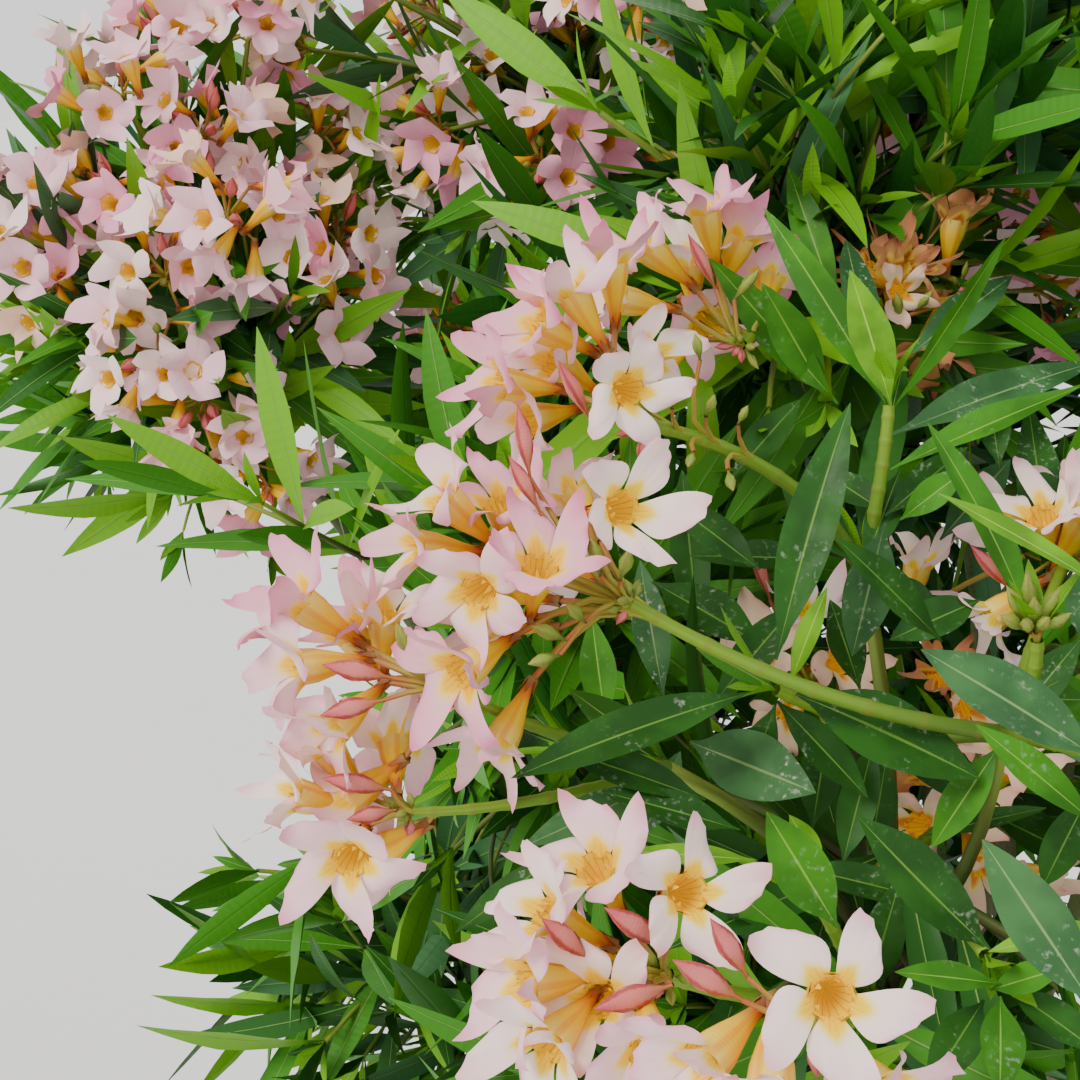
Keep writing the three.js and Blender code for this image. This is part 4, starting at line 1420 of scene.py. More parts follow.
class Board:
    """The nodes of one material or group, with short ways to place and join them."""

    def __init__(self, tree: bpy.types.NodeTree) -> None:
        """Takes an empty tree."""
        self.tree = tree
        tree.nodes.clear()

    def node(self, kind: str, **settings: object) -> bpy.types.Node:
        """Places a node and gives it its settings."""
        node = self.tree.nodes.new(kind)
        for name, value in settings.items():
            setattr(node, name, value)
        return node

    def feed(self, socket: Socket, value: object) -> None:
        """Joins a socket to another, or sets its value.

        Args:
            socket: The socket to feed.
            value: Another socket, a colour or a number.
        """
        if isinstance(value, Socket):
            self.tree.links.new(value, socket)
        elif socket.type == "RGBA":
            socket.default_value = (*value, 1.0)
        else:
            socket.default_value = value

    def reckon(self, operation: str, first: object, second: object = 0.0) -> Socket:
        """The result of a sum of two values."""
        node = self.node("ShaderNodeMath", operation=operation)
        self.feed(node.inputs[0], first)
        self.feed(node.inputs[1], second)
        return node.outputs[0]

    def times(self, first: object, second: object) -> Socket:
        """One value times another."""
        return self.reckon("MULTIPLY", first, second)

    def plus(self, first: object, second: object) -> Socket:
        """One value and another."""
        return self.reckon("ADD", first, second)

    def minus(self, first: object, second: object) -> Socket:
        """One value less another."""
        return self.reckon("SUBTRACT", first, second)

    def wave(self, value: object, turns_round: float, kind: str = "COSINE") -> Socket:
        """A wave from -1 to 1 that comes back so many times as a value goes from 0 to 1."""
        return self.reckon(kind, self.times(value, math.tau * turns_round))

    def off_middle(self, across: object) -> Socket:
        """How far a place across its grid is from the middle."""
        return self.reckon("ABSOLUTE", self.minus(across, 0.5))

    def blend(self, share: object, first: object, second: object, kind: str = "MIX") -> Socket:
        """The colour that a share leads to, from the first to the second.

        Args:
            share: How far the way from the first to the second is gone.
            first: A colour or socket.
            second: Another.
            kind: How the two are mixed.

        Returns:
            The mixed colour.
        """
        node = self.node("ShaderNodeMix", data_type="RGBA", blend_type=kind)
        self.feed(node.inputs["Factor"], share)
        self.feed(node.inputs[6], first)
        self.feed(node.inputs[7], second)
        return node.outputs[2]

    def stretch(
        self, value: object, low: float, high: float, to_low: float = 0.0, to_high: float = 1.0
    ) -> Socket:
        """A value moved softly from one range to another and kept inside it.

        Args:
            value: The value.
            low: Where the first range starts.
            high: Where it ends.
            to_low: What its start becomes.
            to_high: What its end becomes.

        Returns:
            The moved value.
        """
        node = self.node("ShaderNodeMapRange", interpolation_type="SMOOTHSTEP")
        for socket, number in zip(node.inputs[1:5], (low, high, to_low, to_high)):
            socket.default_value = number
        self.feed(node.inputs["Value"], value)
        return node.outputs["Result"]

    def noise(self, place: object, scale: object, detail: float = 3.0) -> Socket:
        """Cloudy noise at places."""
        node = self.node("ShaderNodeTexNoise")
        self.feed(node.inputs["Vector"], place)
        self.feed(node.inputs["Scale"], scale)
        node.inputs["Detail"].default_value = detail
        return node.outputs["Fac"]

    def spot(self) -> Socket:
        """The place on the plant, in metres."""
        return self.node("ShaderNodeTexCoord").outputs["Object"]

    def pattern(self) -> tuple[Socket, Socket]:
        """How far across and along its grid a point is."""
        uv = self.node("ShaderNodeUVMap", uv_map="pattern")
        parts = self.node("ShaderNodeSeparateXYZ")
        self.feed(parts.inputs[0], uv.outputs[0])
        return parts.outputs[0], parts.outputs[1]

    def bump(self, height: object, depth: float, strength: float = 1.0) -> Socket:
        """The normal of a relief of that depth in metres.

        Args:
            height: The relief.
            depth: How deep it is, in metres.
            strength: How strongly it shows.

        Returns:
            The normal.
        """
        node = self.node("ShaderNodeBump")
        node.inputs["Strength"].default_value = strength
        node.inputs["Distance"].default_value = depth
        self.feed(node.inputs["Height"], height)
        return node.outputs["Normal"]


FLOAT = "NodeSocketFloat"
COLOUR = "NodeSocketColor"


class Effect:
    """A group of nodes that several materials use."""

    made: dict[str, bpy.types.NodeTree] = {}
    name = ""
    takes: dict[str, object] = {}
    gives: dict[str, str] = {}

    def tree(self) -> bpy.types.NodeTree:
        """The group, built the first time that it is asked for."""
        if self.name not in self.made:
            tree = bpy.data.node_groups.new(self.name, "ShaderNodeTree")
            board = Board(tree)
            for label, value in self.takes.items():
                kind = COLOUR if isinstance(value, tuple) else FLOAT
                socket = tree.interface.new_socket(name=label, in_out="INPUT", socket_type=kind)
                socket.default_value = (*value, 1.0) if isinstance(value, tuple) else value
            for label, kind in self.gives.items():
                tree.interface.new_socket(name=label, in_out="OUTPUT", socket_type=kind)
            inner = board.node("NodeGroupInput")
            outer = board.node("NodeGroupOutput")
            for label, value in self.build(board, inner.outputs).items():
                board.feed(outer.inputs[label], value)
            self.made[self.name] = tree
        return self.made[self.name]

    def build(self, board: Board, given: Sockets) -> dict[str, object]:
        """Places the group's own nodes and returns what they put out."""
        raise NotImplementedError

    def place(self, board: Board, **values: object) -> Sockets:
        """Places the group in a material, with values for what it takes."""
        node = board.node("ShaderNodeGroup", node_tree=self.tree())
        for label, value in values.items():
            board.feed(node.inputs[label.capitalize()], value)
        return node.outputs


class Mottle(Effect):
    """Cloudy blotches of two colours, with a finer grain in them."""

    name = "mottle"
    takes = {"Light": (0.8, 0.8, 0.8), "Dark": (0.2, 0.2, 0.2), "Scale": 20.0, "Grain": 400.0}
    gives = {"Color": COLOUR, "Height": FLOAT, "Blotch": FLOAT}

    def build(self, board: Board, given: Sockets) -> dict[str, object]:
        """Mixes broad and fine noise.

        Args:
            board: The board to place them on.
            given: What the group takes, by label.

        Returns:
            What the group puts out, by label.
        """
        spot = board.spot()
        broad = board.noise(spot, given["Scale"], 4.0)
        fine = board.noise(spot, given["Grain"], 3.0)
        both = board.plus(board.times(broad, 0.7), board.times(fine, 0.3))
        blotch = board.stretch(both, 0.36, 0.64)
        colour = board.blend(blotch, given["Dark"], given["Light"])
        return {"Color": colour, "Height": both, "Blotch": blotch}


class LeafVeins(Effect):
    """The midrib, the fine side veins and the pale specks of a leaf."""

    name = "leaf_veins"
    takes = {"Blade": (0.05, 0.2, 0.04), "Rib": (0.3, 0.5, 0.2), "Specks": 0.3}
    gives = {"Color": COLOUR, "Roughness": FLOAT, "Height": FLOAT}
    shady = (0.54, 0.61, 0.54)
    sunny = (1.13, 1.08, 0.96)
    dust = (0.62, 0.68, 0.55)
    side_veins = 74.0
    slant = 13.0

    def build(self, board: Board, given: Sockets) -> dict[str, object]:
        """Lays the veins out from the midrib towards the tip.

        Args:
            board: The board to place them on.
            given: What the group takes, by label.

        Returns:
            What the group puts out, by label.
        """
        across, along = board.pattern()
        off_rib = board.off_middle(across)
        rib = board.stretch(off_rib, 0.030, 0.012)
        fan = board.minus(board.times(along, self.side_veins), board.times(off_rib, self.slant))
        wave = board.wave(fan, 1.0, "SINE")
        vein = board.times(board.stretch(wave, 0.3, 1.0), 0.055)
        spot = board.spot()
        cloud = board.stretch(board.noise(spot, 55.0), 0.35, 0.68)
        shade = board.blend(cloud, self.shady, self.sunny)
        tinted = board.blend(1.0, given["Blade"], shade, "MULTIPLY")
        veined = board.blend(board.reckon("MAXIMUM", vein, board.times(rib, 0.85)), tinted, given["Rib"])
        patch = board.stretch(board.noise(spot, 60.0), 0.46, 0.70)
        speckle = board.times(board.stretch(board.noise(spot, 520.0, 4.0), 0.54, 0.76), patch)
        dusted = board.blend(board.times(speckle, given["Specks"]), veined, self.dust)
        height = board.plus(board.times(wave, -0.12), board.times(rib, 0.9))
        rough = board.stretch(board.noise(spot, 120.0), 0.3, 0.7, 0.38, 0.6)
        return {"Color": dusted, "Roughness": rough, "Height": height}


class PetalFlush(Effect):
    """The warm heart of a petal, its fine rays and the deeper colour along its edge."""

    name = "petal_flush"
    takes = {
        "Heart": (0.9, 0.5, 0.1),
        "Pale": (0.9, 0.8, 0.7),
        "Blade": (0.8, 0.6, 0.6),
        "Edge": (0.8, 0.4, 0.5),
    }
    gives = {"Color": COLOUR, "Height": FLOAT}
    halo = (0.96, 0.74, 0.09)
    ray = (0.80, 0.26, 0.01)
    rays = 5

    def build(self, board: Board, given: Sockets) -> dict[str, object]:
        """Runs the colours from the throat out to the edge.

        Args:
            board: The board to place them on.
            given: What the group takes, by label.

        Returns:
            What the group puts out, by label.
        """
        across, along = board.pattern()
        off_middle = board.off_middle(across)
        cloud = board.noise(board.spot(), 130.0, 2.0)
        reach = board.plus(along, board.times(board.minus(cloud, 0.5), 0.35))
        edge_reach = board.plus(reach, board.times(off_middle, 0.5))
        body = board.blend(board.stretch(reach, 0.30, 0.85), given["Pale"], given["Blade"])
        rimmed = board.blend(board.stretch(edge_reach, 0.86, 1.3), body, given["Edge"])
        tongue = board.plus(along, board.times(off_middle, 0.55))
        rays = board.wave(across, self.rays)
        ray = board.times(board.stretch(rays, 0.86, 1.0), board.stretch(tongue, 0.40, 0.22))
        glow = board.blend(board.stretch(tongue, 0.54, 0.30), rimmed, self.halo)
        warm = board.blend(board.stretch(tongue, 0.44, 0.24), glow, given["Heart"])
        streaked = board.blend(board.times(ray, 0.7), warm, self.ray)
        return {"Color": streaked, "Height": board.plus(board.times(rays, 0.25), cloud)}


class SoftRelief(Effect):
    """A fine uneven relief and gloss for small leaves and petals."""

    name = "soft_relief"
    takes = {"Low": 0.4, "High": 0.6}
    gives = {"Roughness": FLOAT, "Height": FLOAT}

    def build(self, board: Board, given: Sockets) -> dict[str, object]:
        """Reads the fine noise and the ribs along each grid.

        Args:
            board: The board to place them on.
            given: What the group takes, by label.

        Returns:
            What the group puts out, by label.
        """
        across, along = board.pattern()
        cloud = board.noise(board.spot(), 140.0)
        ribs = board.reckon("SINE", board.times(along, 130.0))
        middle = board.stretch(board.off_middle(across), 0.08, 0.0)
        height = board.plus(board.times(ribs, 0.15), board.plus(cloud, middle))
        rough = board.plus(given["Low"], board.times(board.minus(given["High"], given["Low"]), cloud))
        return {"Roughness": rough, "Height": height}


class Skin(Board):
    """The board of one new material, with the shader that its nodes lead to."""

    sockets = {
        "colour": "Base Color",
        "roughness": "Roughness",
        "normal": "Normal",
        "specular": "Specular IOR Level",
        "glow": "Emission Color",
        "glow_strength": "Emission Strength",
        "sheen": "Sheen Weight",
        "sheen_roughness": "Sheen Roughness",
    }

    def __init__(self, name: str) -> None:
        """Makes the material and joins its shader to the output."""
        self.material = bpy.data.materials.new(name)
        self.material.use_nodes = True
        super().__init__(self.material.node_tree)
        self.shader = self.node("ShaderNodeBsdfPrincipled")
        output = self.node("ShaderNodeOutputMaterial")
        self.feed(output.inputs["Surface"], self.shader.outputs[0])

    def wear(self, **values: object) -> Material:
        """Feeds the shader and hands over the material.

        Args:
            values: What goes to each of the shader's sockets, by the short names above.

        Returns:
            The material.
        """
        for label, value in values.items():
            self.feed(self.shader.inputs[self.sockets[label]], value)
        return self.material

    def soft(self, low: float, high: float, depth: float, strength: float) -> dict[str, Socket]:
        """The fine gloss and relief of a leaf or petal, ready to wear.

        Args:
            low: Its least roughness.
            high: Its greatest.
            depth: How deep the relief is, in metres.
            strength: How strongly it shows.

        Returns:
            The roughness and the normal.
        """
        relief = SoftRelief().place(self, low=low, high=high)
        return {"roughness": relief["Roughness"], "normal": self.bump(relief["Height"], depth, strength)}

    def mottled(self, light: Colour, dark: Colour, scale: float, grain: float) -> Sockets:
        """Mottle in two colours."""
        return Mottle().place(self, light=light, dark=dark, scale=scale, grain=grain)


@dataclass(frozen=True)
class LeafFinish:
    """The skin of one tint of leaf: waxy above, greyer below."""

    blade: Colour
    rib: Colour
    under: Colour
    specks: float

    def near(self, name: str) -> Material:
        """The material for leaves that show their veins."""
        skin = Skin(name)
        veins = LeafVeins().place(skin, blade=self.blade, rib=self.rib, specks=self.specks)
        below = skin.node("ShaderNodeNewGeometry").outputs["Backfacing"]
        colour = skin.blend(below, veins["Color"], self.under)
        normal = skin.bump(veins["Height"], 0.0002, 0.4)
        return skin.wear(colour=colour, roughness=veins["Roughness"], normal=normal, specular=0.22)

    def plain(self, name: str) -> Material:
        """The material for the many leaves further in, in one colour, with its relief and gloss."""
        return plain_leaf(name, self.blade)


def plain_leaf(name: str, colour: Colour) -> Material:
    """A leaf's or rib's material in one colour."""
    skin = Skin(name)
    return skin.wear(colour=colour, specular=0.24, **skin.soft(0.36, 0.62, 0.0004, 0.5))


@dataclass(frozen=True)
class PetalFinish:
    """The colours of one tone of petal, from its heart to its edge."""

    heart: Colour
    pale: Colour
    blade: Colour
    edge: Colour

    def near(self, name: str) -> Material:
        """The material for flowers that show their flush."""
        skin = Skin(name)
        colours = {"heart": self.heart, "pale": self.pale, "blade": self.blade, "edge": self.edge}
        flush = PetalFlush().place(skin, **colours)
        relief = SoftRelief().place(skin, low=0.48, high=0.7)
        normal = skin.bump(flush["Height"], 0.0003, 0.35)
        return self.velvet_and_painted_glow(skin, flush["Color"], {"roughness": relief["Roughness"], "normal": normal})

    def plain(self, name: str) -> Material:
        """The material for the many flowers further off, in one colour."""
        skin = Skin(name)
        return self.velvet_and_painted_glow(skin, self.blade, skin.soft(0.5, 0.7, 0.0003, 0.3))

    @staticmethod
    def velvet_and_painted_glow(skin: Skin, colour: object, soft: dict[str, Socket]) -> Material:
        """Gives a petal its velvety surface and a faint painted glow in its own colour, which stands in for
        the light that passes through it and lifts its shaded side.
        """
        # Painted light: the petal's colour glows faintly through emission, lifting its shaded side.
        light = {"glow": colour, "glow_strength": 0.10, "sheen": 0.12, "sheen_roughness": 0.5}
        return skin.wear(colour=colour, specular=0.25, **light, **soft)


@dataclass(frozen=True)
class MottledFinish:
    """A surface of two mottled colours with a relief, such as bark, clay or compost."""

    light: Colour
    dark: Colour
    scale: float
    grain: float
    depth: float
    roughness: float
    specular: float = 0.3

    def material(self, name: str) -> Material:
        """The material."""
        skin = Skin(name)
        mottle = skin.mottled(self.light, self.dark, self.scale, self.grain)
        rough = skin.stretch(mottle["Blotch"], 0.0, 1.0, self.roughness - 0.08, self.roughness + 0.08)
        normal = skin.bump(mottle["Height"], self.depth, 0.8)
        return skin.wear(colour=mottle["Color"], roughness=rough, normal=normal, specular=self.specular)


@dataclass(frozen=True)
class BoughFinish:
    """The bark of a bough: like the stem's at the fork, smoother and greener further out."""

    old: tuple[Colour, Colour] = ((0.30, 0.26, 0.19), (0.105, 0.085, 0.055))
    green: tuple[Colour, Colour] = ((0.19, 0.24, 0.09), (0.09, 0.105, 0.04))
    greening: Span = (0.04, 0.5)

    def material(self, name: str) -> Material:
        """The material.

        Args:
            name: What to call it.

        Returns:
            The material, greener by how far along the bough a point is.
        """
        skin = Skin(name)
        _, along = skin.pattern()
        old, green = (skin.mottled(*colours, 24.0, 520.0) for colours in (self.old, self.green))
        colour = skin.blend(skin.stretch(along, *self.greening), old["Color"], green["Color"])
        rough = skin.stretch(old["Blotch"], 0.0, 1.0, 0.6, 0.78)
        normal = skin.bump(old["Height"], 0.001, 0.8)
        return skin.wear(colour=colour, roughness=rough, normal=normal, specular=0.28)


@dataclass(frozen=True)
class ClayFinish:
    """Fired clay: warm and dry, with pale bloom from the water that dries on it and turning lines."""

    clay: Colour = (0.50, 0.19, 0.095)
    burnt: Colour = (0.36, 0.125, 0.062)
    bloom: Colour = (0.66, 0.47, 0.36)
    lines_per_metre: float = 140.0

    def material(self, name: str) -> Material:
        """The material.

        Args:
            name: What to call it.

        Returns:
            The material, with its bloom in patches and along the foot.
        """
        skin = Skin(name)
        mottle = skin.mottled(self.clay, self.burnt, 11.0, 260.0)
        spot = skin.spot()
        parts = skin.node("ShaderNodeSeparateXYZ")
        skin.feed(parts.inputs[0], spot)
        patches = skin.stretch(skin.noise(spot, 7.0, 6.0), 0.54, 0.72)
        low = skin.times(skin.stretch(parts.outputs[2], 0.11, 0.0), 0.7)
        bloom = skin.times(skin.reckon("MAXIMUM", patches, low), 0.55)
        lines = skin.wave(parts.outputs[2], self.lines_per_metre, "SINE")
        height = skin.plus(mottle["Height"], skin.times(lines, 0.12))
        return skin.wear(
            colour=skin.blend(bloom, mottle["Color"], self.bloom),
            roughness=skin.stretch(mottle["Blotch"], 0.0, 1.0, 0.78, 0.92),
            normal=skin.bump(height, 0.0008, 0.6),
            specular=0.25,
        )


@dataclass(frozen=True)
class ThroatFinish:
    """The inside of a flower: golden all the way down, with orange streaks."""

    deep: Colour = (0.94, 0.66, 0.0)
    gold: Colour = (0.92, 0.62, 0.0)
    rim: Colour = (0.93, 0.67, 0.0)
    far: Colour = (0.96, 0.64, 0.04)
    streak: Colour = (0.68, 0.20, 0.0)
    streaks: int = 15

    def near(self, name: str) -> Material:
        """The material for flowers that show their streaks.

        Args:
            name: What to call it.

        Returns:
            The material, streaked from the mouth down, with a faint painted glow that brightens its shaded
            inside.
        """
        skin = Skin(name)
        across, along = skin.pattern()
        upper = skin.blend(skin.stretch(along, 0.1, 0.5), self.rim, self.gold)
        graded = skin.blend(skin.stretch(along, 0.5, 0.85), upper, self.deep)
        ray = skin.times(skin.stretch(skin.wave(across, self.streaks), 0.78, 1.0), 0.75)
        colour = skin.blend(ray, graded, self.streak)
        soft = skin.soft(0.45, 0.65, 0.0003, 0.4)
        # Painted light: the throat's colours glow faintly through emission, brightening the shade inside it.
        return skin.wear(colour=colour, glow=colour, glow_strength=0.11, specular=0.2, **soft)

    def plain(self, name: str) -> Material:
        """The material for the many flowers further off."""
        skin = Skin(name)
        return skin.wear(colour=self.far, specular=0.2, **skin.soft(0.45, 0.65, 0.0003, 0.4))


@dataclass(frozen=True)
class GradedFinish:
    """A small part whose colour runs from its foot to its tip, such as a bud, a tube or a stalk."""

    foot: Colour
    middle: Colour
    tip: Colour
    streak: Colour
    streaks: float
    twist: float
    strength: float
    roughness: float = 0.5
    rings: float = 0.0
    ring: Colour = (0.23, 0.17, 0.03)

    def material(self, name: str) -> Material:
        """The material.

        Args:
            name: What to call it.

        Returns:
            The material, with its streaks and, where it has them, its rings.
        """
        skin = Skin(name)
        across, along = skin.pattern()
        lower = skin.blend(skin.stretch(along, 0.0, 0.5), self.foot, self.middle)
        graded = skin.blend(skin.stretch(along, 0.5, 1.0), lower, self.tip)
        turned = skin.plus(skin.times(across, math.tau * self.streaks), skin.times(along, self.twist))
        ray = skin.times(skin.stretch(skin.reckon("SINE", turned), 0.2, 1.0), self.strength)
        colour = skin.blend(ray, graded, self.streak)
        if self.rings:
            ring = skin.stretch(skin.wave(along, self.rings), -0.84, -0.99, 0.0, 0.3)
            colour = skin.blend(ring, colour, self.ring)
        soft = skin.soft(self.roughness - 0.1, self.roughness + 0.1, 0.0003, 0.4)
        return skin.wear(colour=colour, specular=0.3, **soft)


LEAF_FINISHES = {
    Tint.DARK: LeafFinish((0.020, 0.112, 0.010), (0.15, 0.31, 0.04), (0.10, 0.19, 0.06), 0.5),
    Tint.MID: LeafFinish((0.050, 0.235, 0.008), (0.24, 0.46, 0.05), (0.13, 0.26, 0.07), 0.3),
    Tint.YOUNG: LeafFinish((0.148, 0.395, 0.006), (0.42, 0.62, 0.08), (0.22, 0.40, 0.07), 0.1),
    Tint.DUSTY: LeafFinish((0.050, 0.165, 0.052), (0.22, 0.36, 0.12), (0.14, 0.23, 0.11), 0.9),
}
PETAL_FINISHES = {
    Tone.PALE: PetalFinish((0.94, 0.60, 0.0), (0.92, 0.66, 0.63), (0.89, 0.54, 0.60), (0.80, 0.31, 0.43)),
    Tone.PINK: PetalFinish((0.93, 0.56, 0.0), (0.87, 0.49, 0.54), (0.83, 0.36, 0.48), (0.70, 0.18, 0.33)),
    Tone.CREAM: PetalFinish((0.94, 0.63, 0.0), (0.93, 0.78, 0.69), (0.92, 0.70, 0.68), (0.87, 0.43, 0.50)),
    Tone.FADED: PetalFinish((0.75, 0.30, 0.06), (0.86, 0.66, 0.44), (0.84, 0.56, 0.42), (0.70, 0.34, 0.24)),
    Tone.WITHERED: PetalFinish(
        (0.50, 0.16, 0.03), (0.62, 0.30, 0.10), (0.50, 0.20, 0.08), (0.28, 0.09, 0.04)
    ),
}


# The parts of the plant


@dataclass
class Pot:
    """The plain terracotta pot: a turned shell with a rolled rim band."""

    height: float = 330.0
    foot: float = 140.0
    shoulder: float = 183.0
    rim: float = 197.0
    band_height: float = 52.0
    floor: float = 14.0
    inner_foot: float = 128.0
    inner_rim: float = 180.0
    edge: float = 4.0
    unevenness: float = 0.35
    sides: int = 96
    finish: ClayFinish = ClayFinish()

    def profile(self) -> Array:
        """The turned outline, from the middle of the underside, up the outside and down the inside.

        Returns:
            Radii and heights, with each corner rounded by its own measure.
        """
        band_foot = self.height - self.band_height
        outline = [
            (0.0, 0.0, 0.0),
            (self.foot, 0.0, self.edge),
            (self.shoulder, band_foot, 3.0),
            (self.rim - 2, band_foot, self.edge),
            (self.rim, self.height, 7.0),
            (self.inner_rim, self.height, 6.0),
            (self.inner_foot, self.floor, 6.0),
            (0.0, self.floor, 0.0),
        ]
        points = [np.array(corner[:2]) for corner in outline]
        smooth = [points[0]]
        for before, here, after, corner in zip(points, points[1:], points[2:], outline[1:]):
            start = here + unit(before - here) * corner[2]
            end = here + unit(after - here) * corner[2]
            smooth.extend(self.run(smooth[-1], start))
            steps = np.linspace(0.0, 1.0, 5)[1:, None]
            smooth.extend((1 - steps) ** 2 * start + 2 * (1 - steps) * steps * here + steps**2 * end)
        smooth.extend(self.run(smooth[-1], points[-1]))
        return np.array(smooth)

    @staticmethod
    def run(start: Array, end: Array) -> Array:
        """Points along a straight stretch, about 20 mm apart, without its start."""
        steps = max(2, round(float(np.linalg.norm(end - start)) / 20))
        return start + np.linspace(0.0, 1.0, steps + 1)[1:, None] * (end - start)

    def make(self) -> None:
        """Turns the pot and gives it its clay, with the faint unevenness of one thrown by hand."""
        radii, heights = self.profile().T[..., None]
        turn = turns(self.sides)
        wander = self.unevenness * (1 + np.sin(2 * turn + heights / 90))
        patches = Patches()
        patches.add(turned(radii - wander * (radii > 60), heights, turn)[None], closed=True)
        pot = patches.piece("pot_shell", self.finish.material("fired_clay"))
        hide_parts("pot")


@dataclass
class Compost:
    """The top of the compost, with bark chips and white grit strewn on it."""

    top: float = 300.0
    radius: float = 175.5
    depth: float = 40.0
    chips: int = 980
    grit: int = 220
    level: float = 150.0
    sag_width: float = 25.0
    sag_depth: float = 5.0
    rings: int = 38
    sides: int = 110
    lump: Counts = (4, 6)
    earth: MottledFinish = MottledFinish(
        (0.075, 0.048, 0.030), (0.016, 0.011, 0.008), 60.0, 900.0, 0.004, 0.9, 0.15
    )
    chip: MottledFinish = MottledFinish(
        (0.20, 0.115, 0.060), (0.045, 0.024, 0.014), 90.0, 1200.0, 0.001, 0.85, 0.2
    )
    white: MottledFinish = MottledFinish(
        (0.72, 0.70, 0.66), (0.45, 0.43, 0.40), 150.0, 1500.0, 0.0006, 0.9, 0.2
    )

    def sag(self, radii: Array) -> Array:
        """How far the surface falls away towards the wall of the pot."""
        return self.sag_depth * np.clip((radii - self.level) / self.sag_width, 0, 1)

    def make(self) -> None:
        """Builds the surface, the chips and the grit."""
        random = np.random.default_rng(7)
        radii = np.linspace(0.0, self.radius, self.rings)
        radii = np.concatenate((radii, [self.radius - 0.6, self.radius - 4]))
        turn = turns(self.sides)
        height = np.full((len(radii), len(turn)), self.top - 1.5)
        height += random.normal(scale=0.7, size=height.shape)
        height -= self.sag(radii[:, None])
        height[-2:] = [[self.top - 14.0], [self.top - self.depth]]
        height[0] = height[0].mean()
        surface = Patches()
        surface.add(turned(radii[:, None], height, turn)[None], closed=True)
        earth = surface.piece("compost", self.earth.material("damp_compost"))
        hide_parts("soil")
        for name, count, low, high, finish in (
            ("bark_chips", self.chips, (2.5, 1.6, 0.9), (9.0, 4.2, 2.0), self.chip),
            ("white_grit", self.grit, (1.2, 1.1, 0.9), (2.4, 2.1, 1.8), self.white),
        ):
            strewn = Patches()
            strewn.add(self.pebbles(random, count, low, high), closed=True)
            piece = strewn.piece(name, finish.material(name.rstrip("s")))

    def pebbles(self, random: np.random.Generator, count: int, low: tuple, high: tuple) -> Array:
        """Small uneven lumps strewn over the compost.

        Args:
            random: The row of numbers that places and shapes them.
            count: How many there are.
            low: Their least half sizes.
            high: Their greatest half sizes.

        Returns:
            Their grids, to be added as closed.
        """
        rows, sides = self.lump
        tilt = np.linspace(0.02, math.pi - 0.02, rows)[:, None]
        ball = turned(np.sin(tilt), np.cos(tilt), turns(sides))
        lumps = ball * random.uniform(0.72, 1.1, (count, rows, sides, 1))
        lumps = lumps * random.uniform(low, high, (count, 1, 1, 3))
        spin = random.uniform(0, math.tau, (count, 1, 1))
        lean = random.normal(scale=0.35, size=(count, 1, 1))
        lumps = spun(spun(lumps, lean, 0, 2), spin, 0, 1)
        reach = (self.radius - 8) * np.sqrt(random.uniform(0, 1, count))
        angle = random.uniform(0, math.tau, count)
        rise = self.top - 1.2 - self.sag(reach) + random.uniform(0, 1.4, count)
        return turned(reach, rise, angle)[:, None, None] + lumps


@dataclass
class Framework:
    """The woody stems and boughs, with the ridges, lenticels and leaf scars of their bark."""

    crown: Crown
    stem_sides: int = 18
    bough_sides: int = 11
    ring_gap: float = 26.0
    bark: MottledFinish = MottledFinish(
        (0.30, 0.26, 0.19), (0.105, 0.085, 0.055), 24.0, 520.0, 0.0012, 0.8, 0.25
    )
    young_bark: BoughFinish = BoughFinish()

    def make(self) -> None:
        """Builds the stems, then the boughs, and lets them stand for the solids of the same names."""
        boughs = [mass.bough for mass in self.crown.masses]
        for name, limbs, sides, finish in (
            ("woody_stems", self.crown.stems, self.stem_sides, self.bark),
            ("woody_boughs", boughs, self.bough_sides, self.young_bark),
        ):
            patches = Patches()
            for number, limb in enumerate(limbs):
                patches.add(self.limb_grid(limb, sides, number), closed=True)
            piece = patches.piece(name, finish.material(f"bark_of_{name}"))
            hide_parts(*(limb.name for limb in limbs))

    def limb_grid(self, limb: Limb, sides: int, number: int) -> Array:
        """One limb with its bark's relief.

        Args:
            limb: The stem or bough.
            sides: How many spans it has round.
            number: Its number, which sets its own relief.

        Returns:
            Its grid, to be added as closed.
        """
        steps = max(12, round(limb.arc.length / 6))
        shares = np.linspace(0.0, 1.0, steps + 1)[:, None]
        turn = turns(sides)
        travel = shares * limb.arc.length / self.ring_gap + 0.37 * number
        scarred = 0.75 + 0.25 * np.cos(3 * turn + 2.1 * np.floor(travel))
        ring = np.exp(-(((travel % 1.0 - 0.5) / 0.1) ** 2)) * scarred
        random = np.random.default_rng(40 + number)
        ridges = 0.3 * np.sin(5 * turn + 2.5 * np.sin(travel)) + 0.18 * np.sin(9 * turn - travel * 3)
        warts = np.maximum(0.0, random.normal(size=(steps + 1, sides)) - 1.2) * 0.35
        fading = np.minimum(1.0, limb.radius_at(shares) / self.crown.stem_foot)
        relief = (ridges + 0.8 * ring + warts) * fading
        return tube_grid(limb.arc, limb.radius_at, steps, sides, relief)


@dataclass
class Spray:
    """One twig that carries leaves, and a head of flowers where it is a flowering one."""

    arc: Arc
    foot: float
    tip: float
    kind: Kind
    tint: Tint
    near: int | None = None
    leafless: float = 0.34


@dataclass(frozen=True)
class Carried:
    """A near shoot by its number, with the place it bends by, and its tip if it runs on past its own."""

    shoot: int
    bend: Place
    tip: Place | None = None


@dataclass(frozen=True)
class SideBough:
    """A side bough that leaves the stem of the near mass and carries some of its shoots."""

    share: float
    bend: Place
    end: Place
    shoots: tuple[Carried, ...]


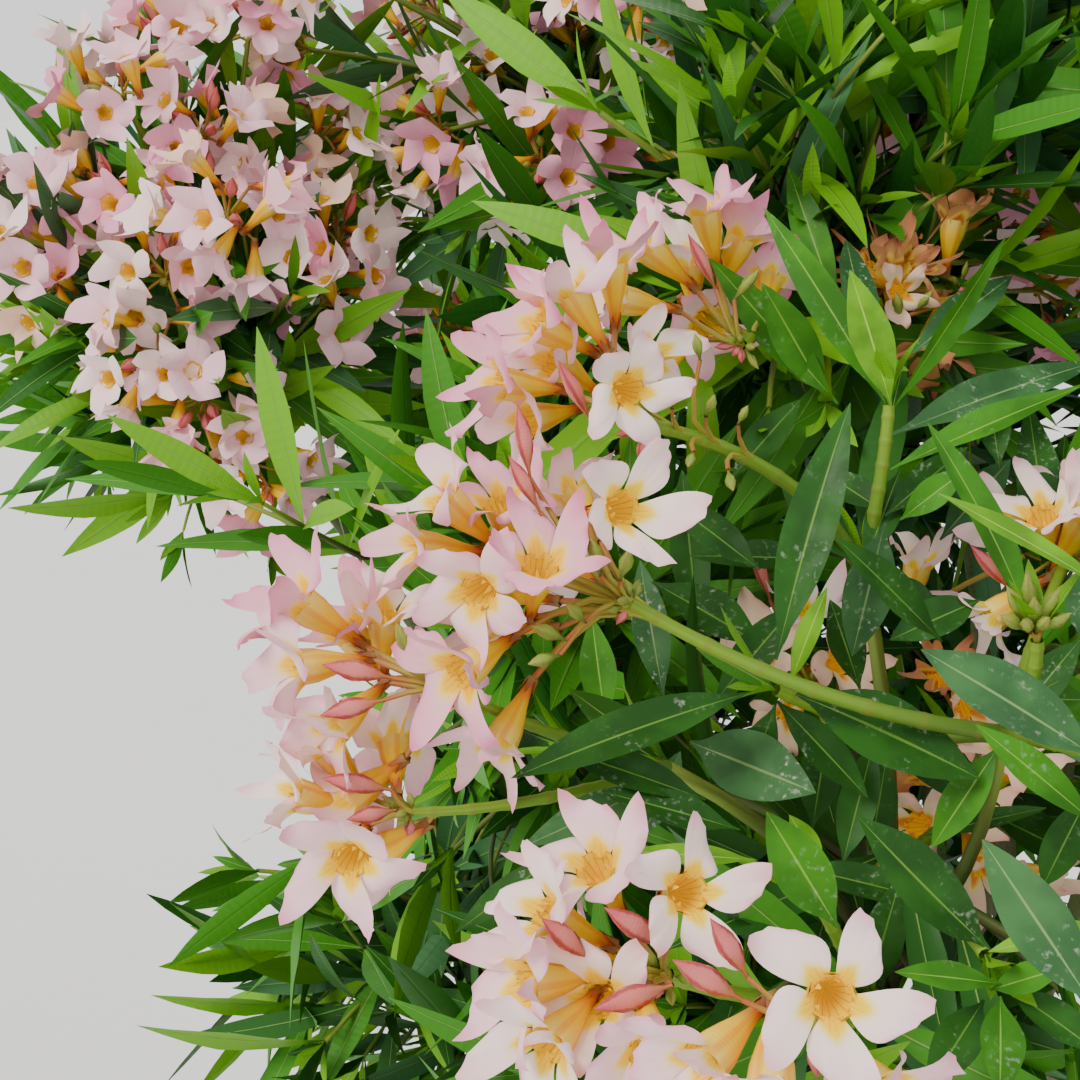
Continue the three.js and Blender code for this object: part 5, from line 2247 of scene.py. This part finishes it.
SIDE_BOUGHS = (
    SideBough(
        0.30,
        Place(900, 740, 610),
        Place(862, 570, 612),
        (Carried(1, Place(800, 455, 590)), Carried(10, Place(884, 480, 604))),
    ),
    SideBough(
        0.20,
        Place(985, 880, 600),
        Place(1004, 733, 548),
        (
            Carried(2, Place(820, 716, 540)),
            Carried(12, Place(890, 745, 590)),
            Carried(9, Place(1030, 650, 590)),
            Carried(13, Place(1036, 700, 530)),
            Carried(16, Place(1060, 742, 490), Place(1118, 758, 440)),
        ),
    ),
    SideBough(
        0.12,
        Place(830, 850, 612),
        Place(668, 768, 582),
        (Carried(3, Place(560, 742, 562)), Carried(4, Place(520, 812, 556))),
    ),
    SideBough(
        0.02,
        Place(880, 990, 610),
        Place(868, 1000, 570),
        (
            Carried(5, Place(760, 1010, 510)),
            Carried(6, Place(850, 1030, 480)),
            Carried(15, Place(846, 950, 550)),
        ),
    ),
)


@dataclass
class Foliage:
    """The twigs and leaves that grow on from the boughs, in the space and reach of each mass."""

    crown: Crown
    extra_shoots: int = 17
    side_twigs: int = 2
    whorl: int = 3
    whorl_gap: float = 21.0
    nodes: int = 7
    leaf_lengths: Span = (72.0, 98.0)
    leaf_widths: Span = (13.0, 17.5)
    dome: float = 112 * DEGREE
    flowering: float = 0.46
    missing: float = 0.04
    fill_reach: Span = (0.42, 0.92)
    fill_shares: Span = (0.3, 0.96)
    fork_shares: Span = (0.28, 0.72)
    fork_degrees: Span = (38, 56)
    fork_lengths: Span = (52, 88)
    foot_degrees: float = 68
    closing_degrees: float = 34
    play_degrees: float = 11
    droops: Span = (0.02, 0.2)
    sways: Span = (-0.08, 0.08)
    folds: Span = (0.18, 0.52)
    ripples: Span = (0.02, 0.09)
    tuft_degrees: Span = (12, 34)
    tuft_lengths: Span = (0.2, 0.42)
    tuft: int = 4
    near_mesh: Counts = (16, 8)
    seen_mesh: Counts = (7, 2)
    far_mesh: Counts = (5, 2)
    rib_mesh: Counts = (5, 1)
    rib_width: float = 0.6
    rib: Colour = (0.22, 0.38, 0.08)
    twigs: Patches = field(default_factory=Patches)
    near_twigs: Patches = field(default_factory=Patches)
    sprays: list[Spray] = field(default_factory=list)
    leaves: dict[Tint, list[Leaf]] = field(default_factory=lambda: {tint: [] for tint in Tint})
    # Darker towards the foot: partly the older bark's own colour, partly painted shade where the twigs run
    # into the crown.
    bark: GradedFinish = GradedFinish(
        (0.035, 0.042, 0.014), (0.085, 0.13, 0.024), (0.28, 0.40, 0.055), (0.12, 0.06, 0.02),
        2.0, 9.0, 0.3, 0.5,
    )
    # Darker towards the foot: partly the older bark's own colour, partly painted shade where the near shoots
    # run into the crown.
    near_bark: GradedFinish = GradedFinish(
        (0.085, 0.165, 0.018), (0.155, 0.30, 0.020), (0.21, 0.37, 0.024), (0.12, 0.20, 0.02),
        3.0, 3.0, 0.4, 0.5, 7.0,
    )

    def grow(self) -> None:
        """Grows every spray and its leaves."""
        for index, mass in enumerate(self.crown.masses):
            random = Seeded(700 + index)
            self.twigs.add(tube_grid(mass.stem, tapered(4.2, 3.4), 9, 4), closed=True)
            lines = self.carry(mass)
            for shoot in mass.shoots:
                arc = lines.get(shoot.near, shoot.arc)
                leafless = 0.34 if shoot.near is None else 0.10
                tint = self.tint_of(mass, random)
                foot, tip = (2.3, 1.6 if shoot.kind is Kind.BLOOM else 1.1)
                if shoot.near is not None:
                    foot, tip = NEAR_SHOOTS[shoot.near].stem
                self.sprays.append(Spray(arc, foot, tip, shoot.kind, tint, shoot.near, leafless))
                self.fork(arc, mass, random)
            for number in range(self.extra_shoots):
                self.fill(mass, number, random)
            for place in FAR_HEADS:
                if self.crown.nearest(SIGHT.point(place)) is mass:
                    arc = self.crown.branch(mass.stem, random.spread(0.4, 0.95), SIGHT.point(place), 0.4)
                    self.sprays.append(Spray(arc, 2.2, 1.4, Kind.BLOOM, self.tint_of(mass, random)))
        for number, spray in enumerate(self.sprays):
            leaves = self.leaf_out(spray, Seeded(3000 + number))
            if spray.near is not None:
                self.near_twigs.add(self.noded(spray), closed=True)
            elif leaves or spray.kind is Kind.BLOOM:
                self.twigs.add(tube_grid(spray.arc, tapered(spray.foot, spray.tip), 6, 4), closed=True)

    def noded(self, spray: Spray) -> Array:
        """The tube of a near shoot, swollen where its whorls of leaves stood."""
        steps = 8 * self.nodes
        travel = np.linspace(0.0, 1.0, steps + 1) * self.nodes
        swelling = 0.3 * np.exp(-(((travel % 1.0 - 0.5) / 0.12) ** 2))
        return tube_grid(spray.arc, tapered(spray.foot, spray.tip), steps, 9, swelling[:, None])

    def carry(self, mass: Mass) -> dict[int, Arc]:
        """Grows the side boughs of a mass.

        Args:
            mass: The mass.

        Returns:
            The lines of the near shoots that they carry, by number.
        """
        tips = {shoot.near: shoot.tip for shoot in mass.shoots if shoot.near is not None}
        lines = {}
        for bough in SIDE_BOUGHS:
            if bough.shoots[0].shoot in tips:
                fork = SIGHT.point(bough.end)
                arc = Arc(mass.stem.at(bough.share), SIGHT.point(bough.bend), fork)
                self.sprays.append(Spray(arc, 3.0, 2.4, Kind.LEAFY, Tint.DARK, None, 0.15))
                for one in bough.shoots:
                    tip = tips[one.shoot] if one.tip is None else SIGHT.point(one.tip)
                    lines[one.shoot] = Arc(fork, SIGHT.point(one.bend), tip)
        return lines

    def fill(self, mass: Mass, number: int, random: Seeded) -> None:
        """Adds one more shoot to a mass, shorter than those of the solid, where it has room.

        Args:
            mass: The mass.
            number: Which of the added shoots it is.
            random: The mass's own row of numbers.
        """
        lean = math.acos(1 - (number + 0.5) / self.extra_shoots * (1 - math.cos(self.dome)))
        turn = (number + 0.5) * GOLDEN_TURN + random.draw() * 0.9
        length = REACH * random.spread(*self.fill_reach)
        blooms = random.draw()
        tip = self.crown.first_place(mass, leaning(outward_of(mass), lean, turn), length)
        if tip is None:
            return
        arc = self.crown.branch(mass.stem, random.spread(*self.fill_shares), tip, 0.36)
        if hides(arc.at(UPPER_PART)):
            return
        column, row, _ = SIGHT.places(tip)
        blooms_here = not shows(column, row, 60) and blooms < self.flowering
        kind = Kind.BLOOM if blooms_here else Kind.LEAFY
        self.sprays.append(Spray(arc, 2.2, 1.4, kind, self.tint_of(mass, random)))
        self.fork(arc, mass, random)

    def fork(self, arc: Arc, mass: Mass, random: Seeded) -> None:
        """Adds the side twigs of a shoot.

        Args:
            arc: The shoot's line.
            mass: The mass that it belongs to.
            random: The mass's own row of numbers.
        """
        for number in range(self.side_twigs):
            share = random.spread(*self.fork_shares)
            lean = random.spread(*self.fork_degrees) * DEGREE
            way = leaning(arc.along(share), lean, number * GOLDEN_TURN + 3 * random.draw())
            start = arc.at(share)
            tip = start + way * random.spread(*self.fork_lengths) + UP * 8
            side = Arc(start, start + (unit(arc.along(share)) + way) * 14, tip)
            if self.crown.in_space(tip, mass) and not hides(side.at(UPPER_PART)):
                self.sprays.append(Spray(side, 1.5, 1.0, Kind.LEAFY, self.tint_of(mass, random), None, 0.2))

    @staticmethod
    def tint_of(mass: Mass, random: Seeded) -> Tint:
        """Deals out a tint: brighter on the side where the sun falls, darker in the shade.

        Args:
            mass: The mass that a spray belongs to.
            random: The mass's own row of numbers.

        Returns:
            The spray's tint.
        """
        sun = 0.5 + 0.5 * float(unit(mass.heart - UP * 880) @ unit(np.array(SUN_SIDE)))
        draw = random.draw()
        young = 0.03 + 0.26 * sun**2
        mid = young + 0.28 + 0.22 * sun
        dusty = mid + 0.15
        return dealt(draw, (young, Tint.YOUNG), (mid, Tint.MID), (dusty, Tint.DUSTY), (1.0, Tint.DARK))

    def leaf_out(self, spray: Spray, random: Seeded) -> int:
        """Puts the whorls of leaves on a spray.

        Args:
            spray: The twig.
            random: Its own row of numbers.

        Returns:
            How many leaves it has room for.
        """
        count = 0
        covered = spray.arc.length * (1 - spray.leafless)
        last = 0.80 if spray.kind is Kind.BLOOM else 0.985
        whorls = max(2, round(covered * (last - spray.leafless) / (1 - spray.leafless) / self.whorl_gap))
        turn = random.draw() * math.tau
        for place in range(whorls):
            up = place / max(1, whorls - 1)
            share = spray.leafless + (last - spray.leafless) * up
            turn += math.tau / (2 * self.whorl) + random.spread(-0.2, 0.2)
            for number in range(self.whorl):
                spread = self.foot_degrees - self.closing_degrees * up
                spread += random.spread(-self.play_degrees, self.play_degrees)
                place_round = turn + number * math.tau / self.whorl
                leaf = self.leaf_at(spray, share, spread * DEGREE, place_round, random)
                if random.draw() > self.missing and self.may_show(leaf):
                    tint = Tint.YOUNG if up > 0.9 and random.draw() < 0.18 else spray.tint
                    self.leaves[tint].append(leaf)
                    count += 1
        if spray.kind is Kind.LEAFY and in_sight(spray.arc.end) and (count or spray.near is not None):
            self.end_with_tuft(spray, random)
        return count

    def end_with_tuft(self, spray: Spray, random: Seeded) -> None:
        """Ends a shoot with the small upright leaves of its growing tip."""
        for number in range(self.tuft):
            spread = random.spread(*self.tuft_degrees) * DEGREE
            leaf = self.leaf_at(spray, 1.0, spread, number * GOLDEN_TURN, random)
            leaf.length *= random.spread(*self.tuft_lengths)
            leaf.width *= 0.45
            self.leaves[Tint.YOUNG if number else spray.tint].append(leaf)

    def leaf_at(self, spray: Spray, share: float, spread: float, turn: float, random: Seeded) -> Leaf:
        """One leaf of a whorl, opened away from its twig and drooping a little.

        Args:
            spray: The twig.
            share: Where along it.
            spread: How far the leaf stands off.
            turn: Where round it.
            random: The spray's own row of numbers.

        Returns:
            The leaf.
        """
        growth = spray.arc.along(share)
        way = leaning(growth, spread, turn)
        way = unit(way + UP * 0.12)
        face = unit(growth - way * float(growth @ way) + UP * 0.15)
        size = random.spread(*self.leaf_lengths) * (0.82 + 0.18 * min(1.0, spray.arc.length / 110))
        return Leaf(
            spray.arc.at(share),
            way,
            face,
            size,
            random.spread(*self.leaf_widths) * (0.6 + 0.4 * size / self.leaf_lengths[1]),
            random.spread(*self.droops),
            random.spread(*self.sways),
            random.spread(*self.folds),
            random.spread(*self.ripples),
            random.draw() * math.tau,
        )

    @staticmethod
    def may_show(leaf: Leaf) -> bool:
        """True if a leaf is inside the solids' box and doesn't hide what was sighted.

        Args:
            leaf: The leaf.

        Returns:
            Whether it can be there.
        """
        points = leaf.base + leaf.way * leaf.length * np.array((0.3, 0.5, 0.75, 1.0))[:, None]
        low, high = np.array(CAD_BOX)
        tip = points[-1] * MM
        inside = np.all(tip > low) and np.all(tip < high)
        return bool(inside) and not hides(points)

    def make(self, replaced: Iterable[str]) -> None:
        """Joins the twigs and leaves into pieces, the far ones by tint and the near ones with their veins.

        Args:
            replaced: The names of the masses that the foliage stands for.
        """
        names = list(replaced)
        twigs = self.twigs.piece("twigs", self.bark.material("green_bark"))
        near_twigs = self.near_twigs.piece("near_twigs", self.near_bark.material("young_green_bark"))
        ribs = Patches()
        for tint, leaves in self.leaves.items():
            finish = LEAF_FINISHES[tint]
            seen = [leaf for leaf in leaves if in_sight(leaf.base + leaf.way * leaf.length / 2)]
            rest = [leaf for leaf in leaves if not in_sight(leaf.base + leaf.way * leaf.length / 2)]
            patches = Patches()
            patches.add(leaf_grids(seen, *self.seen_mesh))
            patches.add(leaf_grids(rest, *self.far_mesh))
            close = [leaf for leaf in seen if is_close(leaf.base)]
            ribs.add(leaf_grids(close, *self.rib_mesh, self.rib_width))
            piece = patches.piece(f"leaves_{tint.value}", finish.plain(f"leaf_{tint.value}"))
            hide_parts(*names)
            sighted = enumerate(SIGHTED_LEAVES + LEAVES_BEHIND)
            near = [leaf.leaf(number) for number, leaf in sighted if leaf.tint is tint]
            patches = Patches()
            patches.add(leaf_grids(near, *self.near_mesh))
            piece = patches.piece(f"near_leaves_{tint.value}", finish.near(f"near_leaf_{tint.value}"))
        piece = ribs.piece("leaf_ribs", plain_leaf("leaf_rib", self.rib))


def dealt(draw: float, *steps: tuple[float, Enum]) -> Enum:
    """The first tint or tone whose limit is above a drawn number."""
    return next(option for limit, option in steps if draw < limit)


def in_sight(point: Array) -> bool:
    """True if a point shows in the picture's frame."""
    column, row, _ = SIGHT.places(point)
    return shows(column, row, PICTURE_EDGE)


def is_close(point: Array) -> bool:
    """True if a point is near enough to the eye for fine parts to show."""
    return float(SIGHT.places(point)[2]) < CLOSE_DEPTH


# How much room leaves and twigs give to what was sighted, in columns and rows
FAR_HEAD_ROOM = 26.0
FLOWER_ROOM = 52.0
LEAF_ROOM = 17.0
TWIG_ROOM = 15.0


def clearings() -> Array:
    """What leaves keep clear of in the picture, as columns, rows, radii and depths."""
    rows = [(place.column, place.row, FAR_HEAD_ROOM, place.depth + 15) for place in FAR_HEADS]
    for head in SIGHTED_HEADS:
        for flower in head.flowers:
            place = flower.place
            rows.append((place.column, place.row, FLOWER_ROOM, place.depth + 12))
    lines = [(leaf.foot, leaf.tip, LEAF_ROOM) for leaf in SIGHTED_LEAVES]
    carried = [one for bough in SIDE_BOUGHS for one in bough.shoots]
    lines += [(one.bend, NEAR_SHOOTS[one.shoot].tip, TWIG_ROOM) for one in carried]
    for start, end, radius in lines:
        for share in (0.2, 0.4, 0.6, 0.8, 1.0):
            column, row, depth = (
                (1 - share) * getattr(start, name) + share * getattr(end, name)
                for name in ("column", "row", "depth")
            )
            rows.append((column, row, radius, depth + 4))
    return np.array(rows)


CLEARINGS = clearings()
# The depths that leaves may start from: at the left, then at the right from the top down
FREE_DEPTHS = (650, 608, 540, 500)
UPPER_PART = np.array((0.4, 0.6, 0.8, 1.0))
SUN_SIDE = (-0.7, 0.3, 0.5)


def hides(points: Array) -> bool:
    """True if a leaf or twig at points would hide what was set out by sighting, or the open side.

    Args:
        points: Points along the leaf or twig.

    Returns:
        Whether any of them would.
    """
    column, row, depth = (np.atleast_1d(value)[:, None] for value in SIGHT.places(points))
    low, high = -PICTURE_EDGE, 2 * SIGHT.half_frame + PICTURE_EDGE
    shown = (column > low) & (column < high) & (row > low) & (row < high)
    open_side = (column < OPEN_SIDE) & (row > OPEN_TOP) & (row < OPEN_FOOT + 20)
    left, upper, middle, lower = FREE_DEPTHS
    right = np.where(row < UPPER_ROW, upper, np.where(row < LOWER_ROW, middle, lower))
    nearest = np.where(column < MIDDLE_COLUMN, left, right)
    middle_column, middle_row, radius, far = CLEARINGS.T
    near_one = (column - middle_column) ** 2 + (row - middle_row) ** 2 < radius**2
    return bool(np.any(shown & (open_side | (depth < nearest) | (near_one & (depth < far)))))


@dataclass
class Blossom:
    """The heads of flowers and buds, on the tips of the flowering shoots."""

    foliage: Foliage
    form: FlowerForm = FlowerForm()
    far_form: FlowerForm = FlowerForm(
        petal_foot=4.2, petal_half=10.2, petal_end=9.8, slope=0.09, cream_breadth=0.94
    )
    head: Counts = (5, 8)
    tries: int = 9
    fill_degrees: Span = (8, 74)
    fill_reach: Span = (0.72, 1.02)
    fill_sizes: Span = (0.86, 1.0)
    fill_opening: Span = (26, 50)
    fill_drift: float = 0.3
    least_apart: float = 17
    cover: float = 62
    tip_buds: int = 7
    sizes: Span = (0.84, 1.0)
    seen_size: float = 0.88
    opening: Span = (14, 46)
    drift: float = 0.55
    bud_counts: Span = (2, 5)
    bud_degrees: Span = (10, 62)
    bud_stalks: Span = (8, 15)
    green_share: float = 0.45
    stalk: Span = (7.0, 17.0)
    edge: float = 0.016
    near_petal: Counts = (9, 8)
    far_petal: Counts = (4, 4)
    near: list[Flower] = field(default_factory=list)
    far: list[Flower] = field(default_factory=list)
    buds: list[Bud] = field(default_factory=list)
    stalks: Patches = field(default_factory=Patches)
    throat: ThroatFinish = ThroatFinish()
    tooth: MottledFinish = MottledFinish((0.97, 0.78, 0.06), (0.95, 0.58, 0.0), 300.0, 900.0, 0.0002, 0.6)
    tube: GradedFinish = GradedFinish(
        (0.94, 0.75, 0.17), (0.93, 0.57, 0.0), (0.60, 0.11, 0.01), (0.85, 0.26, 0.005), 5.0, 0.5, 0.5, 0.5
    )
    pink_bud: GradedFinish = GradedFinish(
        (0.42, 0.19, 0.05), (0.72, 0.22, 0.19), (0.58, 0.10, 0.12), (0.36, 0.03, 0.035), 3.0, 7.0, 0.75, 0.45
    )
    green_bud: GradedFinish = GradedFinish(
        (0.13, 0.17, 0.03), (0.25, 0.35, 0.045), (0.33, 0.33, 0.06), (0.16, 0.13, 0.03), 3.0, 5.0, 0.45, 0.45
    )
    sepal: GradedFinish = GradedFinish(
        (0.30, 0.20, 0.05), (0.34, 0.12, 0.045), (0.36, 0.07, 0.04), (0.24, 0.05, 0.03), 1.0, 2.0, 0.3, 0.5
    )
    green_stalk: GradedFinish = GradedFinish(
        (0.34, 0.43, 0.04), (0.42, 0.36, 0.05), (0.46, 0.16, 0.05), (0.36, 0.10, 0.04), 2.0, 5.0, 0.35, 0.5
    )

    def grow(self) -> None:
        """Puts a head on every flowering spray."""
        heads = {head.shoot: head for head in SIGHTED_HEADS}
        for number, spray in enumerate(self.foliage.sprays):
            if spray.near in heads:
                self.sighted_head(spray, heads[spray.near])
            elif spray.kind is Kind.BLOOM:
                self.head_on(spray, Seeded(9000 + number), number)

    def stalk_to(self, spray: Spray, foot: Array, radius: float, share: float = 1.0) -> None:
        """Adds the stalk from a spray's tip, or a share of its way, to the foot of a flower or bud.

        Args:
            spray: The spray.
            foot: The foot of the flower or bud.
            radius: How thick the stalk is at the spray.
            share: Where on the spray it starts.
        """
        tip = spray.arc.at(share)
        growth = spray.arc.along(share)
        reach = float(np.linalg.norm(foot - tip))
        line = Arc(tip - growth, tip + growth * reach * 0.35, foot)
        self.stalks.add(tube_grid(line, tapered(radius, radius * 0.75), 3, 4), closed=True)

    def sighted_head(self, spray: Spray, head: SightedHead) -> None:
        """Adds the flowers and buds of a near head at their sighted places, and fills in between them.

        Args:
            spray: The near shoot.
            head: What was sighted on it.
        """
        flowers = [sighted.flower(head.shoot * 20 + number) for number, sighted in enumerate(head.flowers)]
        if flowers:
            self.fill_in(spray, flowers, Seeded(8000 + head.shoot))
        for number, flower in enumerate(flowers):
            self.near.append(flower)
            self.stalk_to(spray, self.form.foot(flower), 1.35, 1 - 0.035 * (number % 4))
        for sighted_bud in head.buds:
            bud = sighted_bud.bud()
            self.buds.append(bud)
            self.stalk_to(spray, bud.foot, 1.0, sighted_bud.share)
        random = Seeded(8500 + head.shoot)
        growth = spray.arc.along(1.0)
        for place in range(self.tip_buds if flowers else 0):
            way = leaning(growth, random.spread(25, 85) * DEGREE, place * GOLDEN_TURN)
            foot = spray.arc.end + way * random.spread(0.5, 3)
            self.buds.append(Bud(foot, way, random.spread(5, 10), random.spread(1.4, 2.1), place % 3 > 0))

    def fill_in(self, spray: Spray, flowers: list[Flower], random: Seeded) -> None:
        """Adds flowers behind and between the sighted ones of a head, where they hide none of them.

        Args:
            spray: The shoot that the head is on.
            flowers: The sighted flowers, which the new ones join.
            random: The head's own row of numbers.
        """
        tip = spray.arc.end
        centres = np.array([flower.centre for flower in flowers])
        middle = centres.mean(axis=0) - tip
        reach = float(np.linalg.norm(centres - tip, axis=1).mean())
        tones = [flower.tone for flower in flowers]
        for place in range(self.tries):
            lean = random.spread(*self.fill_degrees) * DEGREE
            way = leaning(unit(middle), lean, place * GOLDEN_TURN)
            centre = tip + way * reach * random.spread(*self.fill_reach)
            others = np.array([flower.centre for flower in flowers])
            columns, rows, depths = SIGHT.places(others)
            column, row, depth = SIGHT.places(centre)
            apart = np.linalg.norm(others - centre, axis=1).min()
            beside = np.hypot(columns - column, rows - row) < self.cover
            covers = np.any(beside & (depth < depths + 4))
            if apart > self.least_apart and not covers:
                drift = np.array([random.spread(-self.fill_drift, self.fill_drift) for _ in range(3)])
                tone = tones[place % len(tones)]
                size = random.spread(*self.fill_sizes)
                flower = Flower(centre, way + drift, tone, size, random.draw() * math.tau)
                flower.open_angle = random.spread(*self.fill_opening) * DEGREE
                flower.crumple = 0.4 if tone in (Tone.FADED, Tone.WITHERED) else 0.06
                flower.seed = 700 + place
                flowers.append(flower)

    def head_on(self, spray: Spray, random: Seeded, number: int) -> None:
        """Adds a seeded head: flowers in a dome, with buds among them.

        Args:
            spray: The flowering spray.
            random: Its own row of numbers.
            number: Its number, which sets how its petals lie.
        """
        tip = spray.arc.end
        growth = unit(spray.arc.along(1.0) + UP * 0.15)
        count = round(random.spread(*self.head))
        seen = in_sight(tip)
        for place in range(count):
            lean = (14 + 66 * math.sqrt((place + 0.4) / count)) * DEGREE
            way = leaning(growth, lean, place * GOLDEN_TURN + random.draw() * 0.8)
            size = random.spread(*self.sizes) * (self.seen_size if seen else 1.0)
            centre = tip + way * (random.spread(*self.stalk) + self.form.tube * size)
            drift = np.array([random.spread(-self.drift, self.drift) for _ in range(3)])
            tone = self.tone_of(random)
            flower = Flower(centre, way + drift, tone, size, random.draw() * math.tau)
            flower.open_angle = random.spread(*self.opening) * DEGREE
            flower.crumple = 0.4 if tone is Tone.FADED else 0.08
            flower.seed = number * 10 + place
            if self.fits(flower):
                self.far.append(flower)
                self.stalk_to(spray, self.form.foot(flower), 1.0)
        for place in range(round(random.spread(*self.bud_counts))):
            lean = random.spread(*self.bud_degrees) * DEGREE
            way = leaning(growth, lean, place * GOLDEN_TURN + 2)
            green = random.draw() < self.green_share
            foot = tip + way * random.spread(*self.bud_stalks)
            length = random.spread(8, 13) if green else random.spread(15, 22)
            self.buds.append(Bud(foot, way, length, 2.3 if green else 3.1, green))
            self.stalk_to(spray, foot, 0.8)

    @staticmethod
    def tone_of(random: Seeded) -> Tone:
        """Deals out a tone to a flower."""
        shares = ((0.38, Tone.PALE), (0.7, Tone.PINK), (0.93, Tone.CREAM), (1.0, Tone.FADED))
        return dealt(random.draw(), *shares)

    def fits(self, flower: Flower) -> bool:
        """True if a flower is inside the solids' box."""
        low, high = np.array(CAD_BOX)
        centre = flower.centre * MM
        return bool(np.all(centre > low + self.edge) and np.all(centre < high - self.edge))

    def make(self) -> None:
        """Joins the flowers into pieces, by tone and by how near they are."""
        for tone in Tone:
            finish = PETAL_FINISHES[tone]
            near = [flower for flower in self.near if flower.tone is tone]
            far = [flower for flower in self.far if flower.tone is tone]
            label = f"petals_{tone.value}"
            skin = f"petal_{tone.value}"
            if near:
                petals = self.form.petal_grids(near, *self.near_petal)
                self.join(f"near_{label}", finish.near(f"near_{skin}"), petals)
            if far:
                petals = self.far_form.petal_grids(far, *self.far_petal)
                self.join(label, finish.plain(skin), petals)
        form, near, far = self.form, self.near, self.far
        self.join("near_throats", self.throat.near("near_throat"), form.throat_grids(near, 20), True)
        self.join("near_teeth", self.tooth.material("throat_tooth"), form.crown_grids(near))
        self.join("throats", self.throat.plain("throat"), form.throat_grids(far, 6), True)
        self.join("near_tubes", self.tube.material("near_tube"), form.tube_grids(near, 15), True)
        self.join("tubes", self.tube.material("tube"), form.tube_grids(far, 6, 2), True)
        self.join("sepals", self.sepal.material("sepal"), form.sepal_grids(near + far))
        pink = [bud for bud in self.buds if not bud.green]
        green = [bud for bud in self.buds if bud.green]
        self.join("pink_buds", self.pink_bud.material("pink_bud"), bud_grids(pink, 9, 8), True)
        self.join("green_buds", self.green_bud.material("green_bud"), bud_grids(green, 6, 6), True)
        piece = self.stalks.piece("flower_stalks", self.green_stalk.material("flower_stalk"))

    @staticmethod
    def join(name: str, material: Material, grids: Array, closed: bool = False) -> None:
        """Makes one piece of one kind of part.

        Args:
            name: The piece's name.
            material: What it is made of.
            grids: Its grids.
            closed: Whether each grid's last column joins its first.
        """
        patches = Patches()
        patches.add(grids, closed)
        patches.piece(name, material)


@dataclass
class Studio:
    """The plain floor, the soft light and the camera."""

    floor_side: float = 160.0
    plaster: MottledFinish = MottledFinish(
        (0.80, 0.795, 0.785), (0.765, 0.76, 0.75), 1.2, 40.0, 0.0004, 0.75, 0.3
    )
    sky: Colour = (0.98, 0.985, 1.0)
    sky_strength: float = 0.98
    seen_sky: Colour = (0.99, 0.985, 0.98)
    seen_strength: float = 1.28
    lens: float = 60.0

    def make(self) -> None:
        """Sets out the floor, the lights and the camera."""
        self.lay_floor()
        self.light("key", (-2.2, -1.8, 3.4), 26, 2.3, (1.0, 0.965, 0.91))
        self.light("fill", (2.4, -2.2, 2.2), 60, 0.35, (0.98, 0.98, 1.0))
        self.light("back", (-0.6, 2.8, 3.2), 44, 1.1, (1.0, 0.98, 0.92))
        world = bpy.data.worlds.new("soft_sky")
        bpy.context.scene.world = world
        world.use_nodes = True
        board = Board(world.node_tree)
        mixed = board.node("ShaderNodeMixShader")
        board.feed(mixed.inputs[0], board.node("ShaderNodeLightPath").outputs["Is Camera Ray"])
        for socket, colour, strength in (
            (mixed.inputs[1], self.sky, self.sky_strength),
            (mixed.inputs[2], self.seen_sky, self.seen_strength),
        ):
            background = board.node("ShaderNodeBackground")
            board.feed(background.inputs["Color"], colour)
            board.feed(background.inputs["Strength"], strength)
            board.feed(socket, background.outputs[0])
        board.feed(board.node("ShaderNodeOutputWorld").inputs["Surface"], mixed.outputs[0])
        camera = bpy.data.objects.new("camera", bpy.data.cameras.new("camera"))
        camera.data.lens = self.lens
        camera.data.sensor_width = 36.0
        camera.data.clip_start = 0.02
        camera.location = np.array(SIGHT.eye) * MM
        camera.rotation_euler = (math.pi / 2 - SIGHT.tilt, 0.0, 0.0)
        bpy.context.collection.objects.link(camera)
        bpy.context.scene.camera = camera

    def lay_floor(self) -> None:
        """Builds the floor, with the faint mottle of smooth plaster."""
        half = self.floor_side / 2
        corners = [(-half, -half, 0), (half, -half, 0), (half, half, 0), (-half, half, 0)]
        mesh = bpy.data.meshes.new("floor")
        mesh.from_pydata(corners, [], [(0, 1, 2, 3)])
        mesh.materials.append(self.plaster.material("pale_floor"))
        floor = bpy.data.objects.new("floor", mesh)
        bpy.context.collection.objects.link(floor)

    @staticmethod
    def light(name: str, place: Spot, degrees: float, power: float, colour: Colour) -> None:
        """Hangs a soft, even light as wide as an angle, which shines from a place towards the plant.

        Args:
            name: What the light is called.
            place: Where it hangs, in metres.
            degrees: How wide it is, as an angle.
            power: How strong it is.
            colour: Its colour.
        """
        lamp = bpy.data.lights.new(name, "SUN")
        lamp.angle = degrees * DEGREE
        lamp.energy = power
        lamp.color = colour
        hung = bpy.data.objects.new(name, lamp)
        hung.location = place
        aim = unit(np.array((0.0, 0.0, 0.9)) - np.array(place))
        pitch = math.acos(-aim[2])
        hung.rotation_euler = (pitch, 0.0, math.atan2(aim[1], aim[0]) - math.pi / 2)
        bpy.context.collection.objects.link(hung)


def main() -> None:
    """Builds the plant from the pot up, then the studio round it."""
    logging.basicConfig(level=logging.INFO, format="%(message)s")
    crown = Crown()
    crown.grow()
    Pot().make()
    Compost().make()
    Framework(crown).make()
    foliage = Foliage(crown)
    foliage.grow()
    foliage.make(mass.name for mass in crown.masses)
    blossom = Blossom(foliage)
    blossom.grow()
    blossom.make()
    Studio().make()
    leaf_count = sum(map(len, foliage.leaves.values()))
    flower_count = len(blossom.near + blossom.far)
    LOG.info("%d sprays, %d leaves, %d flowers", len(foliage.sprays), leaf_count, flower_count)


if __name__ == "__main__":
    main()
